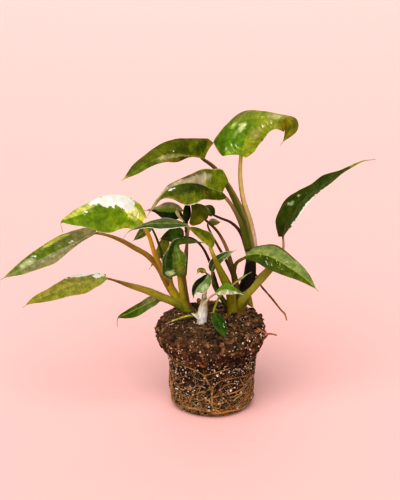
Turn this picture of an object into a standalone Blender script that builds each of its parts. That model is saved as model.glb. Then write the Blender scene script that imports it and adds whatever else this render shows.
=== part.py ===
"""A white-splashed philodendron lifted out with its root ball: soil, roots, stems and leaves.

Sizes are in millimetres and scaled to metres when a mesh is made. +Z is up, the origin is the
middle of the root ball's flat underside, and the plant is seen from -Y.
"""
import math
import random

import bmesh
import bpy
import numpy as np
from mathutils import Vector
from mathutils.bvhtree import BVHTree

MM = 0.001

# Driving sizes
BALL_LIP_RADIUS = 52.5
BALL_WAIST_RADIUS = 42.8
BALL_FOOT_RADIUS = 41.0
BALL_TOP = 89.0
BLADE_THICKNESS = 0.7
SEAT_GAP = 0.4
SEAT_INSET = 1.2
HOLE_CLEARANCE = 0.4
ROOT_GAP = 0.8
LEAST_HALF_WIDTH = 0.45
STEM_SIDES = 6
STEM_SPACING = 9.0
ROOT_SIDES = 4
BALL_SEGMENTS = 40

# Where the shoots stand in the soil: x, y, radius
LEFT_CROWN = (-25.0, 23.5, 9.5)
RIGHT_CROWN = (24.5, 18.0, 12.0)
CENTRE_SHOOT = (-10.0, -10.0, 5.4)
CROWN_FOOT = 76.0

# Colours as red, green, blue, then roughness
DARK_GREEN = (0.035, 0.105, 0.018, 0.4)
OLIVE = (0.12, 0.17, 0.025, 0.45)
LIME = (0.22, 0.36, 0.03, 0.4)
GREY_GREEN = (0.12, 0.19, 0.09, 0.45)
CREAM = (0.72, 0.70, 0.55, 0.5)
BROWN_OLIVE = (0.16, 0.11, 0.03, 0.55)


class Leaf:
    """A blade: midrib points, the way its upper face looks, and the half widths from base to tip."""

    def __init__(self, name, spine, face, left, right, folds=(10, 10), left_fold=None,
                 right_fold=None, curl=25, lobe=(0, 0), blunt=0.01, drip=0.05, wave=0.0, colour=DARK_GREEN):
        self.name = name
        self.spine = [np.array(p, float) for p in spine]
        self.face = np.array(face, float)
        self.widths = {-1: left, 1: right}
        self.folds = {-1: left_fold or folds, 1: right_fold or folds}
        self.curl = curl
        self.lobe = {-1: lobe[0], 1: lobe[1]}
        self.blunt = blunt
        self.drip = drip
        self.wave = wave
        self.colour = colour


LEAVES = [
    Leaf("leaf_top_left",
         spine=[(-7, 28, 247), (-21, 24, 251), (-38, 18, 254), (-52, 11, 253), (-69, 3, 245), (-87, -3, 234)],
         face=(0, -0.2, 1), left=(1, 2, 8, 7, 5, 4), right=(22, 18, 15.5, 11, 8.5, 6.5),
         left_fold=(-25, -40, -20, -10), right_fold=(52, 50, 40, 20), curl=15, lobe=(0, 8), blunt=0.05, drip=0.02),
    Leaf("leaf_top_right",
         spine=[(27, 24, 251), (30, 27, 260), (33, 30, 269), (38, 32, 276.5), (47, 31, 283), (57, 27, 287.5),
                (66, 22, 288.5), (73, 16, 287.5), (75, 12, 283), (71, 9, 276), (64, 8, 265)],
         face=(-0.1, -0.85, 0.5), left=(30, 31, 27, 22.5, 14, 9, 7.5, 7.5, 5),
         right=(10, 12.5, 15.5, 17, 15.5, 12.5, 11, 12, 12, 7), left_fold=(5, 0, -15, -35, -55, -50, -30, -20),
         right_fold=(5, 10, 18, 20, 15, 5, -5), lobe=(6, 1), blunt=0.02,
         colour=OLIVE),
    Leaf("leaf_two_tone",
         spine=[(10, 2, 221), (-1, 0, 225), (-13, -3, 231), (-26, -7, 233), (-40, -11, 230), (-50, -15, 222),
                (-58, -18, 211), (-63, -19, 202)],
         face=(0, -0.35, 0.95), left=(12, 15, 20, 25, 23, 16, 4, 2), right=(20, 21, 16.5, 9, 5.5, 4, 2, 1.5),
         left_fold=(5, 5, -12, -35, -20), right_fold=(62, 52, 20, 5, 0), lobe=(4, 2.5), blunt=0.025,
         drip=0.03),
    Leaf("leaf_white_patch",
         spine=[(-67, -12, 196), (-81, -14, 205), (-97, -17, 209), (-116, -20, 208), (-133, -24, 204),
                (-143, -27, 201), (-143, -28, 195), (-142, -28, 190)],
         face=(0, -0.6, 0.8), left=(11, 17.5, 24, 21, 11), right=(14, 19.5, 17.5, 13, 7),
         folds=(12, 10, 8), lobe=(3, 3), drip=0.1, wave=1.2, colour=LIME),
    Leaf("leaf_far_left",
         spine=[(-113, 6, 179), (-129, 0, 172), (-152, -8, 163), (-177, -18, 153), (-196, -26, 146),
                (-204, -28, 142)],
         face=(0, -0.35, 0.95), left=(3, 3, 8, 13.5, 10.5, 7), right=(9, 16, 19, 17, 14, 8),
         folds=(14, 12, 10), lobe=(3, 3), drip=0.04, colour=GREY_GREEN),
    Leaf("leaf_low_left",
         spine=[(-104, -4, 136), (-121, -10, 134), (-138, -18, 132), (-157, -27, 127), (-173, -35, 123),
                (-182, -39, 118)],
         face=(0, -0.45, 0.9), left=(5, 10.5, 14, 11.5, 9, 5.5), right=(8, 10.5, 13, 10.5, 8, 5.5),
         folds=(8, 8), lobe=(2, 2), drip=0.04, colour=OLIVE),
    Leaf("leaf_small_left",
         spine=[(-53, 22, 102), (-63, 24, 97), (-74, 26, 90), (-86, 28, 83), (-95, 29, 78), (-96, 29, 68)],
         face=(0, -0.5, 0.85), left=(5, 7, 8.5, 8.5, 4.5), right=(5, 7.5, 6.5, 5.5, 4), lobe=(2, 2), drip=0.14),
    Leaf("leaf_pale_margin",
         spine=[(-24, -10, 192), (-39, -17, 196), (-58, -24, 198), (-71, -28, 196), (-80, -30, 192),
                (-86, -31, 184)],
         face=(0, -0.15, 1), left=(4, 7, 10.5, 11.5, 6, 3), right=(5, 9.5, 11, 7.5, 3.5, 2),
         left_fold=(8, 8), right_fold=(14, 14), drip=0.1, colour=GREY_GREEN),
    Leaf("leaf_olive",
         spine=[(0, -14, 170), (-5, -14.5, 178), (-14, -16.5, 186), (-25, -20, 194)],
         face=(0.45, -0.55, 0.7), left=(3, 5.5, 5.5, 3.5), right=(7, 10, 7, 4.5), folds=(14, 14), drip=0.04,
         colour=OLIVE),
    Leaf("leaf_far_right",
         spine=[(68.5, 20, 168.5), (71, 19, 182), (80, 18, 198), (90, 17, 211), (103, 18, 222), (118, 20, 231),
                (133, 23, 239), (146, 25, 245), (158, 27, 246)],
         face=(-0.45, -0.75, 0.45), left=(10, 14, 16, 11.5, 7, 7.5, 3, 1.5),
         right=(4, 14, 19, 16, 11, 8, 3, 1.5), left_fold=(2, 2, 5), right_fold=(50, 50, 40), lobe=(2, 2)),
    Leaf("leaf_right",
         spine=[(33, 2, 156), (44, -2, 159), (58, -6, 157), (73, -10, 149), (88, -15, 140), (103, -20, 127)],
         face=(0, -0.45, 0.9), left=(7, 13, 18, 15, 12, 7.5), right=(5, 10.5, 15.5, 13, 9.5, 5),
         left_fold=(10, 10), right_fold=(8, 8), lobe=(2, 2), drip=0.04),
    Leaf("leaf_centre",
         spine=[(-34, -3, 137), (-36, -6, 153), (-37, -7, 166), (-34, -4, 172), (-24, 2, 171), (-12, 6, 168),
                (-5, 8, 166), (1, 9, 163)],
         face=(0, -1, 0.2), left=(15, 14.5, 12, 6, 3.5, 3, 1), right=(8, 9.5, 11, 6, 3.5, 3, 1),
         folds=(4, 4), lobe=(4, 1), blunt=0.03, drip=0.08),
    Leaf("leaf_dark_behind",
         spine=[(-28, 11, 172), (-34, 11, 174), (-42, 10, 173), (-52, 9, 170)],
         face=(0, -0.9, 0.4), left=(4, 8, 7, 4), right=(4, 8, 7, 4), folds=(5, 5), drip=0.04),
    Leaf("leaf_mid_back",
         spine=[(-30, 13, 197), (-39, 13, 200), (-49, 11, 200), (-58, 9, 201), (-68, 7, 200)],
         face=(0, -0.55, 0.8), left=(9, 12, 11, 4), right=(5, 9, 8, 3), folds=(5, 5), lobe=(2, 2), drip=0.1),
    Leaf("leaf_mid_right",
         spine=[(-7, 10, 190), (-11, 8, 198), (-16, 6, 204), (-22, 4, 209)],
         face=(0.2, -0.9, 0.4), left=(13, 15.5, 12.5, 6), right=(5, 7, 7, 4), folds=(5, 5), lobe=(1, 1),
         colour=OLIVE),
    Leaf("leaf_dark_centre",
         spine=[(-24, 14, 205), (-24.5, 10, 199), (-25, 7, 192), (-26, 6, 186)],
         face=(0.1, -1, 0.1), left=(2, 3.5, 4, 3), right=(2, 3.5, 4, 3), folds=(10, 10)),
    Leaf("leaf_small_dark",
         spine=[(0, 26, 190), (-3, 28, 195), (-8, 30, 198)],
         face=(0, -0.7, 0.7), left=(3, 5, 4), right=(3, 5, 4), folds=(5, 5), lobe=(2, 2)),
    Leaf("leaf_small_olive",
         spine=[(-3, 30, 181), (3, 32, 180), (9, 34, 179)],
         face=(0, -0.7, 0.7), left=(2, 4, 3), right=(2, 4, 3), folds=(5, 5), colour=OLIVE),
    Leaf("leaf_striped",
         spine=[(-1, 2, 139), (2, 2, 147), (10, 2, 154.5), (17, 2, 158.5), (24, 2, 162)],
         face=(-0.4, -0.7, 0.6), left=(4, 6, 5, 3), right=(3, 5, 5, 3), folds=(20, 20), colour=GREY_GREEN),
    Leaf("leaf_curled",
         spine=[(-4, -24, 146), (-8, -27, 141), (-15, -30, 134), (-19, -31, 123)],
         face=(0.3, -0.9, 0.4), left=(4, 8, 9, 6), right=(2.5, 5, 6, 4), folds=(16, 16), colour=GREY_GREEN),
    Leaf("leaf_low_centre",
         spine=[(3, -26, 128), (12, -28, 133), (23, -29, 131), (34, -29, 126)],
         face=(0, -0.3, 1), left=(3, 9, 7, 3), right=(3, 8, 7, 3), folds=(8, 8), colour=GREY_GREEN),
    Leaf("leaf_on_soil",
         spine=[(1, -26, 107), (5, -33, 102), (9, -41, 96), (12.5, -48, 89)],
         face=(0.2, -0.75, 0.65), left=(3, 5.5, 6.5, 5), right=(3, 5, 5.5, 4), lobe=(1, 1), drip=0.04),
    Leaf("leaf_hanging_back",
         spine=[(-45, 30, 165), (-49, 29, 154), (-56, 27, 143), (-63, 26, 131)],
         face=(-0.3, -0.8, 0.5), left=(3, 6, 5, 3), right=(3, 6, 5, 3), folds=(8, 8), drip=0.1),
    Leaf("leaf_tip_back",
         spine=[(-59, 14, 181), (-66, 12, 178), (-72, 10, 173), (-78, 9, 168)],
         face=(0, -0.6, 0.8), left=(2, 5, 5, 3), right=(2, 5, 5, 3), folds=(8, 8)),
    Leaf("leaf_cream_tip",
         spine=[(-35, 1, 203), (-33, -2, 199), (-30, -5, 196), (-27, -6, 194)],
         face=(0.3, -0.8, 0.5), left=(1.6, 1.8, 1.5, 1.2), right=(1.6, 1.8, 1.5, 1.2), folds=(25, 25), colour=CREAM),
    Leaf("leaf_back_right",
         spine=[(36, 27, 105), (37, 31, 97), (40, 34, 90), (43, 37, 85)],
         face=(0.3, -0.9, 0.3), left=(2, 3.5, 3.5, 2), right=(2, 3.5, 3.5, 2), folds=(15, 15), colour=OLIVE),
    Leaf("leaf_brown_curl",
         spine=[(-6, -14, 145), (-9, -14, 147), (-13, -15, 147), (-15, -16, 143)],
         face=(0, -0.5, 0.85), left=(2, 3.5, 3.5, 2), right=(2, 3.5, 3.5, 2), folds=(-10, -10),
         colour=BROWN_OLIVE),
    Leaf("leaf_needle",
         spine=[(21, -6, 130), (27, -8, 135), (33, -9, 140), (38, -9, 143)],
         face=(0, -0.7, 0.7), left=(0.8, 1.2, 1.2, 0.8), right=(0.8, 1.2, 1.2, 0.8), folds=(20, 20),
         drip=0.1, colour=CREAM),
    Leaf("leaf_grass",
         spine=[(-19, -12, 99), (-27, -14, 98), (-35, -16, 96), (-44, -18, 93)],
         face=(0, -0.4, 0.9), left=(0.8, 1.1, 1, 0.8), right=(0.8, 1.1, 1, 0.8), folds=(20, 20), drip=0.1,
         colour=OLIVE),
]

# A pale pointed flap that is part of the centre shoot's sheath
SHEATH_FLAP = Leaf("sheath_flap",
         spine=[(-10, -13, 95), (-15, -16, 99), (-21, -17, 103)],
         face=(-0.2, -0.8, 0.5), left=(2.5, 2.5, 1.3), right=(2.5, 2.5, 1.3), folds=(15, 15), colour=CREAM)

# Each shoot is a list of tubes: the leaf it carries, or None, then points as x, y, z, radius
LEFT_STEMS = [
    (None, [(-25, 24, 86, 6.0), (-28, 23, 95, 5.2), (-36, 22, 105, 4.6), (-41, 21, 114, 4.3), (-43, 20, 122, 3.6)]),
    ("leaf_low_left", [(-27, 23, 89, 4.5), (-34, 20, 97, 4.2), (-49, 16, 106, 4.0), (-64, 11, 115, 3.6),
                       (-82, 4, 124, 2.6), (-94, 0, 130, 1.3)]),
    ("leaf_far_left", [(-41, 21, 112, 3.6), (-46, 20, 122, 3.5), (-53, 17, 138, 3.2), (-64, 13, 152, 2.7),
                       (-77, 11, 161, 2.5), (-89, 9, 169, 2.2), (-102, 7, 175, 1.5)]),
    ("leaf_white_patch", [(-43, 20, 119, 3.4), (-49, 15, 136, 2.7), (-56, 5, 156, 2.3), (-61, -7, 179, 2.0)]),
    ("leaf_centre", [(-23, 22, 88, 5.0), (-27, 18, 101, 4.2), (-30, 11, 119, 3.5), (-32, 6, 133, 2.6)]),
    ("leaf_small_left", [(-28, 25, 91, 2.6), (-38, 25, 97, 1.8)]),
    ("leaf_hanging_back", [(-40, 24, 115, 2.0), (-43, 30, 134, 1.5), (-44, 33, 152, 1.3)]),
    ("leaf_tip_back", [(-44, 22, 122, 2.0), (-48, 20, 142, 1.5), (-53, 18, 163, 1.2)]),
    ("leaf_pale_margin", [(-24, 22, 91, 3.0), (-27, 19, 118, 2.2), (-28, 13, 141, 1.8), (-25, 9, 163, 1.5),
                          (-24, 6, 175, 1.3), (-23, -2, 186, 1.2)]),
    ("leaf_mid_back", [(-27, 18, 129, 2.0), (-25, 20, 156, 1.5), (-26, 19, 179, 1.3)]),
    ("leaf_dark_centre", [(-26, 19.5, 174, 1.3), (-24, 20.5, 192, 1.1), (-24, 20, 202, 1.0)]),
]
RIGHT_STEMS = [
    (None, [(28, 21, 86, 6.4), (28, 21, 91, 6.2), (31, 20.5, 105, 6.4), (34, 20, 116, 7.4), (37, 19, 127, 6.4),
            (38, 18, 139, 5.6), (39, 18, 149, 4.8)]),
    ("leaf_top_left", [(38, 18, 143, 5.0), (37, 18, 160, 4.6), (32, 19, 182, 4.2), (24, 21, 203, 3.6),
                       (14, 23, 222, 2.8), (3, 26, 237, 2.0)]),
    ("leaf_top_right", [(39, 19, 142, 4.6), (41, 21, 160, 3.6), (37, 23, 183, 2.9), (30, 24, 207, 2.4),
                        (27, 24, 230, 2.1)]),
    ("leaf_two_tone", [(35, 15, 159, 3.4), (28, 11, 185, 2.4), (19, 7, 205, 1.9)]),
    ("leaf_small_dark", [(35, 20, 153, 2.6), (28, 22, 172, 1.8), (19, 26, 181, 1.4), (8, 29, 185, 1.2)]),
    ("leaf_mid_right", [(26, 18, 97, 4.6), (23, 15, 122, 3.3), (19, 12, 141, 2.6), (14, 11, 160, 1.8),
                        (6, 11, 176, 1.4), (-2, 11, 185, 1.3)]),
    ("leaf_olive", [(20, 14, 87, 5.0), (20, 13, 95, 5.0), (18, 7, 115, 4.8), (13, 1, 129, 4.4),
                    (7, -5, 144, 3.4), (2, -10, 158, 2.2)]),
    ("leaf_dark_behind", [(20, 19, 89, 3.0), (8, 17, 108, 2.4), (2, 15, 128, 1.9), (-3, 14, 146, 1.5),
                          (-10, 15, 160, 1.2), (-19, 16, 168, 1.1)]),
    ("leaf_small_olive", [(22, 15, 127, 2.0), (14, 21, 143, 1.5), (4, 26, 160, 1.2), (-4, 31, 175, 1.0)]),
    ("leaf_far_right", [(25, 19, 93, 4.4), (30, 15, 105, 4.7), (42, 17, 118.5, 4.6), (55, 20, 132, 4.0),
                        (66, 20, 145, 2.0), (70, 20, 156, 1.3)]),
    ("leaf_right", [(21, 13, 134, 2.6), (24, 8, 146, 1.7)]),
    ("leaf_on_soil", [(17, 3, 121, 2.2), (12, -9, 122, 1.3), (6, -16, 118, 1.1), (2, -20, 109, 1.0)]),
    ("leaf_needle", [(16, 2, 123, 1.8), (19, -3, 126, 1.1)]),
    ("leaf_striped", [(21, 14, 93, 3.0), (12, 11, 104, 2.2), (4, 7, 117, 1.8), (0, 4, 129, 1.4)]),
    ("leaf_brown_curl", [(2, 5, 123, 1.6), (1, -2, 130, 1.2), (-2, -9, 138, 1.0)]),
    ("leaf_back_right", [(31, 23, 99, 3.0), (32, 28, 103, 1.6)]),
]
CENTRE_STEMS = [
    (None, [(-10, -10, 84, 4.6), (-10, -10, 95, 5.0), (-9, -11, 105, 4.4), (-8, -12, 115, 3.0),
            (-8, -13, 121, 2.0)]),
    ("leaf_curled", [(-8, -13, 118, 2.0), (-6, -16, 127, 1.4), (-3, -20, 137, 1.1)]),
    ("leaf_low_centre", [(-9, -11, 108, 2.6), (-5, -18, 117, 1.3), (0, -23, 124, 1.0)]),
    ("leaf_grass", [(-9, -9, 99, 2.0), (-14, -10, 100, 1.2)]),
]

# Roots in the air and out of the lip: x, y, z, radius
AERIAL_ROOT = [(43, 22.5, 128, 1.0), (46, 27, 122, 1.0), (49, 27, 114, 1.0), (54, 26, 108, 1.0),
               (60, 25, 101, 1.0), (69, 22, 90, 0.9), (73, 21, 86, 0.9), (75, 19, 80, 0.7)]
LIP_ROOT = [(44, -18, 87.4, 1.1), (49, -20, 84.6, 1.1), (54.5, -15, 80, 1.0), (58, -8, 77, 0.9), (64, 0, 72, 0.6)]

# Roots on the ball's side: degrees round from the front, height, with one radius for each
SIDE_ROOTS = [
    (0.9, [(-76, 53), (-50, 56), (-35, 54), (-22, 52), (-11, 48), (-7, 42), (1.5, 30.5)]),
    (0.8, [(-13, 47.4), (6, 52), (24, 55)]),
    (0.8, [(2.2, 34.5), (-19, 28), (-28, 22), (-34, 12), (-36, 6)]),
    (0.85, [(-2.6, 31.2), (11, 42), (31, 43), (65, 38)]),
    (0.8, [(-2, 24.5), (18, 26), (38, 28), (70, 36)]),
    (1.0, [(0.4, 36), (0, 15), (6, 10), (13, 6.5)]),
]

# Curves and frames

def unit(v):
    return v / np.linalg.norm(v)


def curve_values(values, t):
    """The value at t of a smooth curve through values set evenly over 0 to 1."""
    v = [2 * values[0] - values[1], *values, 2 * values[-1] - values[-2]]
    x = min(max(t, 0.0), 0.99999) * (len(values) - 1)
    i = int(x)
    f = x - i
    a, b, c, d = v[i:i + 4]
    return 0.5 * (2 * b + (c - a) * f + (2 * a - 5 * b + 4 * c - d) * f * f + (3 * b - a - 3 * c + d) * f ** 3)


def curve_points(control, shares):
    """Points of the smooth curve through control, at shares of its length."""
    values = [np.array(p, float) for p in control]
    fine = np.array([curve_values(values, t) for t in np.linspace(0, 1, 24 * len(values))])
    steps = np.linalg.norm(np.diff(fine[:, :3], axis=0), axis=1)
    run = np.concatenate([[0], np.cumsum(steps)])
    at = np.array(shares) * run[-1]
    return np.stack([np.interp(at, run, fine[:, k]) for k in range(fine.shape[1])], -1)


def curve_length(control):
    fine = curve_points(control, np.linspace(0, 1, 60))
    return np.linalg.norm(np.diff(fine[:, :3], axis=0), axis=1).sum()


def tangents(points):
    t = np.gradient(points, axis=0)
    return t / np.linalg.norm(t, axis=1)[:, None]


def carried_normals(points, face, start):
    """Normals carried along the points without spin, set to face at the start index."""
    along = tangents(points)
    normal = np.zeros_like(points)
    normal[start] = unit(face - (face @ along[start]) * along[start])
    for order in (range(start + 1, len(points)), range(start - 1, -1, -1)):
        last = start
        for i in order:
            normal[i] = unit(normal[last] - (normal[last] @ along[i]) * along[i])
            last = i
    return along, normal


# Meshes

def new_object(name, points, faces, colour):
    """An object in metres from points in millimetres, with faces turned outwards."""
    mesh = bpy.data.meshes.new(name)
    mesh.from_pydata([Vector(p) * MM for p in points], [], faces)
    shaped = bmesh.new()
    shaped.from_mesh(mesh)
    bmesh.ops.recalc_face_normals(shaped, faces=shaped.faces)
    shaped.to_mesh(mesh)
    shaped.free()
    obj = bpy.data.objects.new(name, mesh)
    bpy.context.scene.collection.objects.link(obj)
    dress(obj, colour)
    return obj


def dress(obj, colour):
    """One plain material and soft shading."""
    material = bpy.data.materials.new(obj.name)
    material.use_nodes = True
    shader = material.node_tree.nodes["Principled BSDF"]
    shader.inputs["Base Color"].default_value = (*colour[:3], 1.0)
    shader.inputs["Roughness"].default_value = colour[3]
    shader.inputs["Metallic"].default_value = 0.0
    obj.data.materials.clear()
    obj.data.materials.append(material)
    obj.data.shade_smooth()
    obj.data.set_sharp_from_angle(angle=math.radians(40))


def combined(name, target, others, operation, colour):
    """target joined with, or cut by, the other objects, which are then removed."""
    group = bpy.data.collections.new(name + "_tools")
    bpy.context.scene.collection.children.link(group)
    for other in others:
        bpy.context.scene.collection.objects.unlink(other)
        group.objects.link(other)
    step = target.modifiers.new(operation, "BOOLEAN")
    step.operation = operation
    step.solver = "EXACT"
    step.use_self = False
    step.operand_type = "COLLECTION"
    step.collection = group
    bpy.context.view_layer.update()
    result = bpy.data.meshes.new_from_object(target.evaluated_get(bpy.context.evaluated_depsgraph_get()))
    target.modifiers.clear()
    target.data = result
    for other in others:
        bpy.data.objects.remove(other)
    bpy.data.collections.remove(group)
    keep_largest_body(target)
    target.name = name
    dress(target, colour)
    return target


def keep_largest_body(obj):
    """Removes every loose scrap but the body with the most faces."""
    shaped = bmesh.new()
    shaped.from_mesh(obj.data)
    bmesh.ops.remove_doubles(shaped, verts=shaped.verts, dist=2e-6)
    bodies = []
    unseen = set(shaped.verts)
    while unseen:
        body = set()
        stack = [unseen.pop()]
        while stack:
            vertex = stack.pop()
            body.add(vertex)
            for edge in vertex.link_edges:
                other = edge.other_vert(vertex)
                if other in unseen:
                    unseen.remove(other)
                    stack.append(other)
        bodies.append(body)
    bodies.sort(key=len)
    for body in bodies[:-1]:
        bmesh.ops.delete(shaped, geom=list(body), context="VERTS")
    shaped.to_mesh(obj.data)
    shaped.free()


# Blades

def blade_stations(leaf):
    """Shares of the length where the blade has rows, closer together at the base."""
    rows = 12 if curve_length(leaf.spine) > 55 else 8
    return [(i / (rows - 1)) ** 1.3 for i in range(rows)]


def blade_frame(leaf, stations):
    spine = curve_points(leaf.spine, stations)
    along, normal = carried_normals(spine, leaf.face, len(stations) // 3)
    return spine, along, normal


def blade_surface(leaf):
    """Rows of points on the upper face, from the left margin to the right one."""
    stations = blade_stations(leaf)
    spine, along, normal = blade_frame(leaf, stations)
    half = 3 if max(*leaf.widths[-1], *leaf.widths[1]) > 9 else 2
    rows = np.zeros((len(stations), 2 * half + 1, 3))
    for i, t in enumerate(stations):
        side = np.cross(along[i], normal[i])
        rounding = min(1.0, ((t + leaf.blunt) / 0.1) ** 0.35)
        rows[i, half] = spine[i]
        for sign in (-1, 1):
            body = t / (1 - leaf.drip)
            width = curve_values([*leaf.widths[sign], 0.0], body) if body < 1 else 0.0
            width = max(width * rounding, LEAST_HALF_WIDTH * (2 - t))
            fold = math.radians(curve_values(leaf.folds[sign], t))
            across = up = 0.0
            for j in range(1, half + 1):
                s = j / half
                slope = fold - math.radians(leaf.curl) * (s - 0.5 / half)
                across += math.cos(slope) * width / half
                up += math.sin(slope) * width / half
                back = leaf.lobe[sign] * max(0.0, 1 - t / 0.35) ** 2 * s ** 1.5
                ripple = leaf.wave * s * s * math.sin(2 * math.pi * (2.5 * t + 0.3 * sign)) * math.sin(math.pi * t)
                rows[i, half + sign * j] = spine[i] + sign * side * across + normal[i] * (up + ripple) - along[i] * back
    return rows


def surface_normals(rows):
    """A unit normal for each point of a grid, on the upper side."""
    lengthwise = np.gradient(rows, axis=0)
    crosswise = np.gradient(rows, axis=1)
    normal = np.cross(crosswise, lengthwise)
    return -normal / np.linalg.norm(normal, axis=2)[:, :, None]


def blade_mesh(leaf):
    """Points and faces of a thin solid: the same triangles on both faces, closed at the margin."""
    upper = blade_surface(leaf)
    normal = surface_normals(upper)
    lower = upper - normal * BLADE_THICKNESS
    count, width = upper.shape[:2]
    points = [tuple(p) for p in upper.reshape(-1, 3)] + [tuple(p) for p in lower.reshape(-1, 3)]
    shift = count * width
    faces = []
    for i in range(count - 1):
        for j in range(width - 1):
            a, b = i * width + j, i * width + j + 1
            c, d = a + width, b + width
            faces += [(a, b, c), (b, d, c)] if j < width // 2 else [(a, b, d), (a, d, c)]
    faces += [tuple(shift + k for k in reversed(face)) for face in faces]
    rim = [i * width for i in range(count)]
    rim += [(count - 1) * width + j for j in range(1, width)]
    rim += [i * width + width - 1 for i in range(count - 2, -1, -1)]
    rim += [j for j in range(width - 2, 0, -1)]
    for a, b in zip(rim, rim[1:] + rim[:1]):
        faces += [(a, b, shift + b), (a, shift + b, shift + a)]
    return points, faces


def blade(leaf):
    return new_object(leaf.name, *blade_mesh(leaf), leaf.colour)


# Stems and roots

def tube_rings(points, sides, spacing):
    """Rings of points round a line given as x, y, z, radius."""
    count = max(3, int(curve_length([p[:3] for p in points]) / spacing) + 2)
    line = curve_points(points, np.linspace(0, 1, count))
    centre, radius = line[:, :3], line[:, 3]
    along, normal = carried_normals(centre, np.array((0.31, -0.87, 0.38)), 0)
    rings = np.zeros((count, sides, 3))
    for i in range(count):
        side = np.cross(along[i], normal[i])
        for k in range(sides):
            angle = 2 * math.pi * k / sides
            rings[i, k] = centre[i] + radius[i] * (normal[i] * math.cos(angle) + side * math.sin(angle))
    return rings


def tube(name, points, sides, spacing=9.0):
    """A closed tube along a line given as x, y, z, radius."""
    rings = tube_rings(points, sides, spacing)
    count = len(rings)
    faces = []
    for i in range(count - 1):
        for k in range(sides):
            a, b = i * sides + k, i * sides + (k + 1) % sides
            faces += [(a, b, b + sides), (a, b + sides, a + sides)]
    faces.append(tuple(range(sides)))
    faces.append(tuple(reversed(range((count - 1) * sides, count * sides))))
    return new_object(name, rings.reshape(-1, 3), faces, BROWN_OLIVE)


def seated(points, leaf):
    """A petiole's points with its end added, SEAT_GAP below the base of its blade."""
    spine, along, normal = blade_frame(leaf, blade_stations(leaf))
    tree = BVHTree.FromPolygons(*blade_mesh(leaf))
    radius = points[-1][3]
    drop = BLADE_THICKNESS + SEAT_GAP + radius
    for _ in range(4):
        end = spine[0] + along[0] * SEAT_INSET - normal[0] * drop
        whole = [*points, (*end, radius)]
        rings = tube_rings(whole, STEM_SIDES, STEM_SPACING)
        last = [rings[-2] + (rings[-1] - rings[-2]) * share for share in np.linspace(0, 1, 7)]
        gap = min(tree.find_nearest(Vector(p))[3] for p in np.concatenate(last))
        drop += SEAT_GAP - gap
    return whole


def crown_base(name, crown):
    """The foot of a shoot, a short round plug that stands in its hole in the soil."""
    x, y, radius = crown
    top = BALL_TOP + 3
    points = [(x, y, CROWN_FOOT, radius * 0.96), (x, y, 84, radius), (x, y, BALL_TOP, radius * 0.97),
              (x, y, top, radius * 0.6)]
    return tube(name, points, 14, spacing=5.0)


def shoot(name, crown, stems, leaves, colour, flaps=()):
    """A crown base, its stems and any flaps of its sheath, joined as one body."""
    parts = [blade(flap) for flap in flaps]
    for k, (carried, points) in enumerate(stems):
        if carried:
            points = seated(points, leaves[carried])
        parts.append(tube("%s_%d" % (name, k), points, STEM_SIDES, STEM_SPACING))
    return combined(name, crown_base(name + "_base", crown), parts, "UNION", colour)


# Root ball

def ball_radius(angle, height):
    """The root ball's radius at an angle and a height, with its lumps."""
    heights = (0, 3, 8, 16, 40, 55, 58, 62, 67, 72, 78, 83, 88)
    foot, waist, lip = BALL_FOOT_RADIUS, BALL_WAIST_RADIUS, BALL_LIP_RADIUS
    radii = (foot - 7, foot - 3, foot - 0.8, foot, waist - 0.8, waist, waist + 1,
             lip - 6, lip - 3, lip - 0.7, lip, lip - 1, lip - 6)
    size = 0.8 if height < 55 else 1.3
    fade = min(1.0, height / 8)
    lumps = 0.6 * math.sin(5 * angle + 0.13 * height) + 0.4 * math.sin(9 * angle - 0.21 * height + 1)
    lean = -1.3 * math.sin(angle) * min(max(height - 58, 0) / 10, 1)
    return float(np.interp(height, heights, radii)) + size * fade * lumps + lean


def top_height(x, y):
    return BALL_TOP + 0.5 * math.sin(0.21 * x + 1) * math.sin(0.24 * y) + 0.3 * math.sin(0.4 * x - 0.3 * y)


def soil_ball(crowns):
    """Soil held by its roots: a flat foot, a waist and a wider lip, with a hole for each shoot."""
    heights = (0, 3, 8, 16, 32, 46, 55, 60, 65, 70, 76, 83, 88)
    inner = (0.88, 0.66, 0.4)
    points = []
    for height in heights:
        for k in range(BALL_SEGMENTS):
            angle = 2 * math.pi * k / BALL_SEGMENTS
            radius = ball_radius(angle, height)
            points.append((radius * math.sin(angle), -radius * math.cos(angle), height))
    for share in inner:
        for k in range(BALL_SEGMENTS):
            angle = 2 * math.pi * k / BALL_SEGMENTS
            radius = share * ball_radius(angle, heights[-1])
            x, y = radius * math.sin(angle), -radius * math.cos(angle)
            points.append((x, y, top_height(x, y)))
    faces = []
    for ring in range(len(heights) + len(inner) - 1):
        for k in range(BALL_SEGMENTS):
            a = ring * BALL_SEGMENTS + k
            b = ring * BALL_SEGMENTS + (k + 1) % BALL_SEGMENTS
            faces += [(a, b, b + BALL_SEGMENTS), (a, b + BALL_SEGMENTS, a + BALL_SEGMENTS)]
    faces.append(tuple(reversed(range(BALL_SEGMENTS))))
    last = (len(heights) + len(inner) - 1) * BALL_SEGMENTS
    points.append((0, 0, top_height(0, 0)))
    for k in range(BALL_SEGMENTS):
        faces.append((last + k, last + (k + 1) % BALL_SEGMENTS, len(points) - 1))
    soil = new_object("soil_ball", points, faces, (0.05, 0.032, 0.02, 0.95))
    holes = []
    for k, (x, y, radius) in enumerate(crowns):
        wide = radius + HOLE_CLEARANCE
        cut = [(x, y, CROWN_FOOT - HOLE_CLEARANCE, wide), (x, y, 90, wide), (x, y, BALL_TOP + 12, wide)]
        holes.append(tube("hole_%d" % k, cut, 20, spacing=20.0))
    return combined("soil_ball", soil, holes, "DIFFERENCE", (0.05, 0.032, 0.02, 0.95))


def on_ball(degrees, height, radius):
    """A point of a root that lies on the ball's side."""
    angle = math.radians(degrees)
    reach = ball_radius(angle, height) + ROOT_GAP + radius
    return reach * math.sin(angle), -reach * math.cos(angle), height, radius


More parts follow.
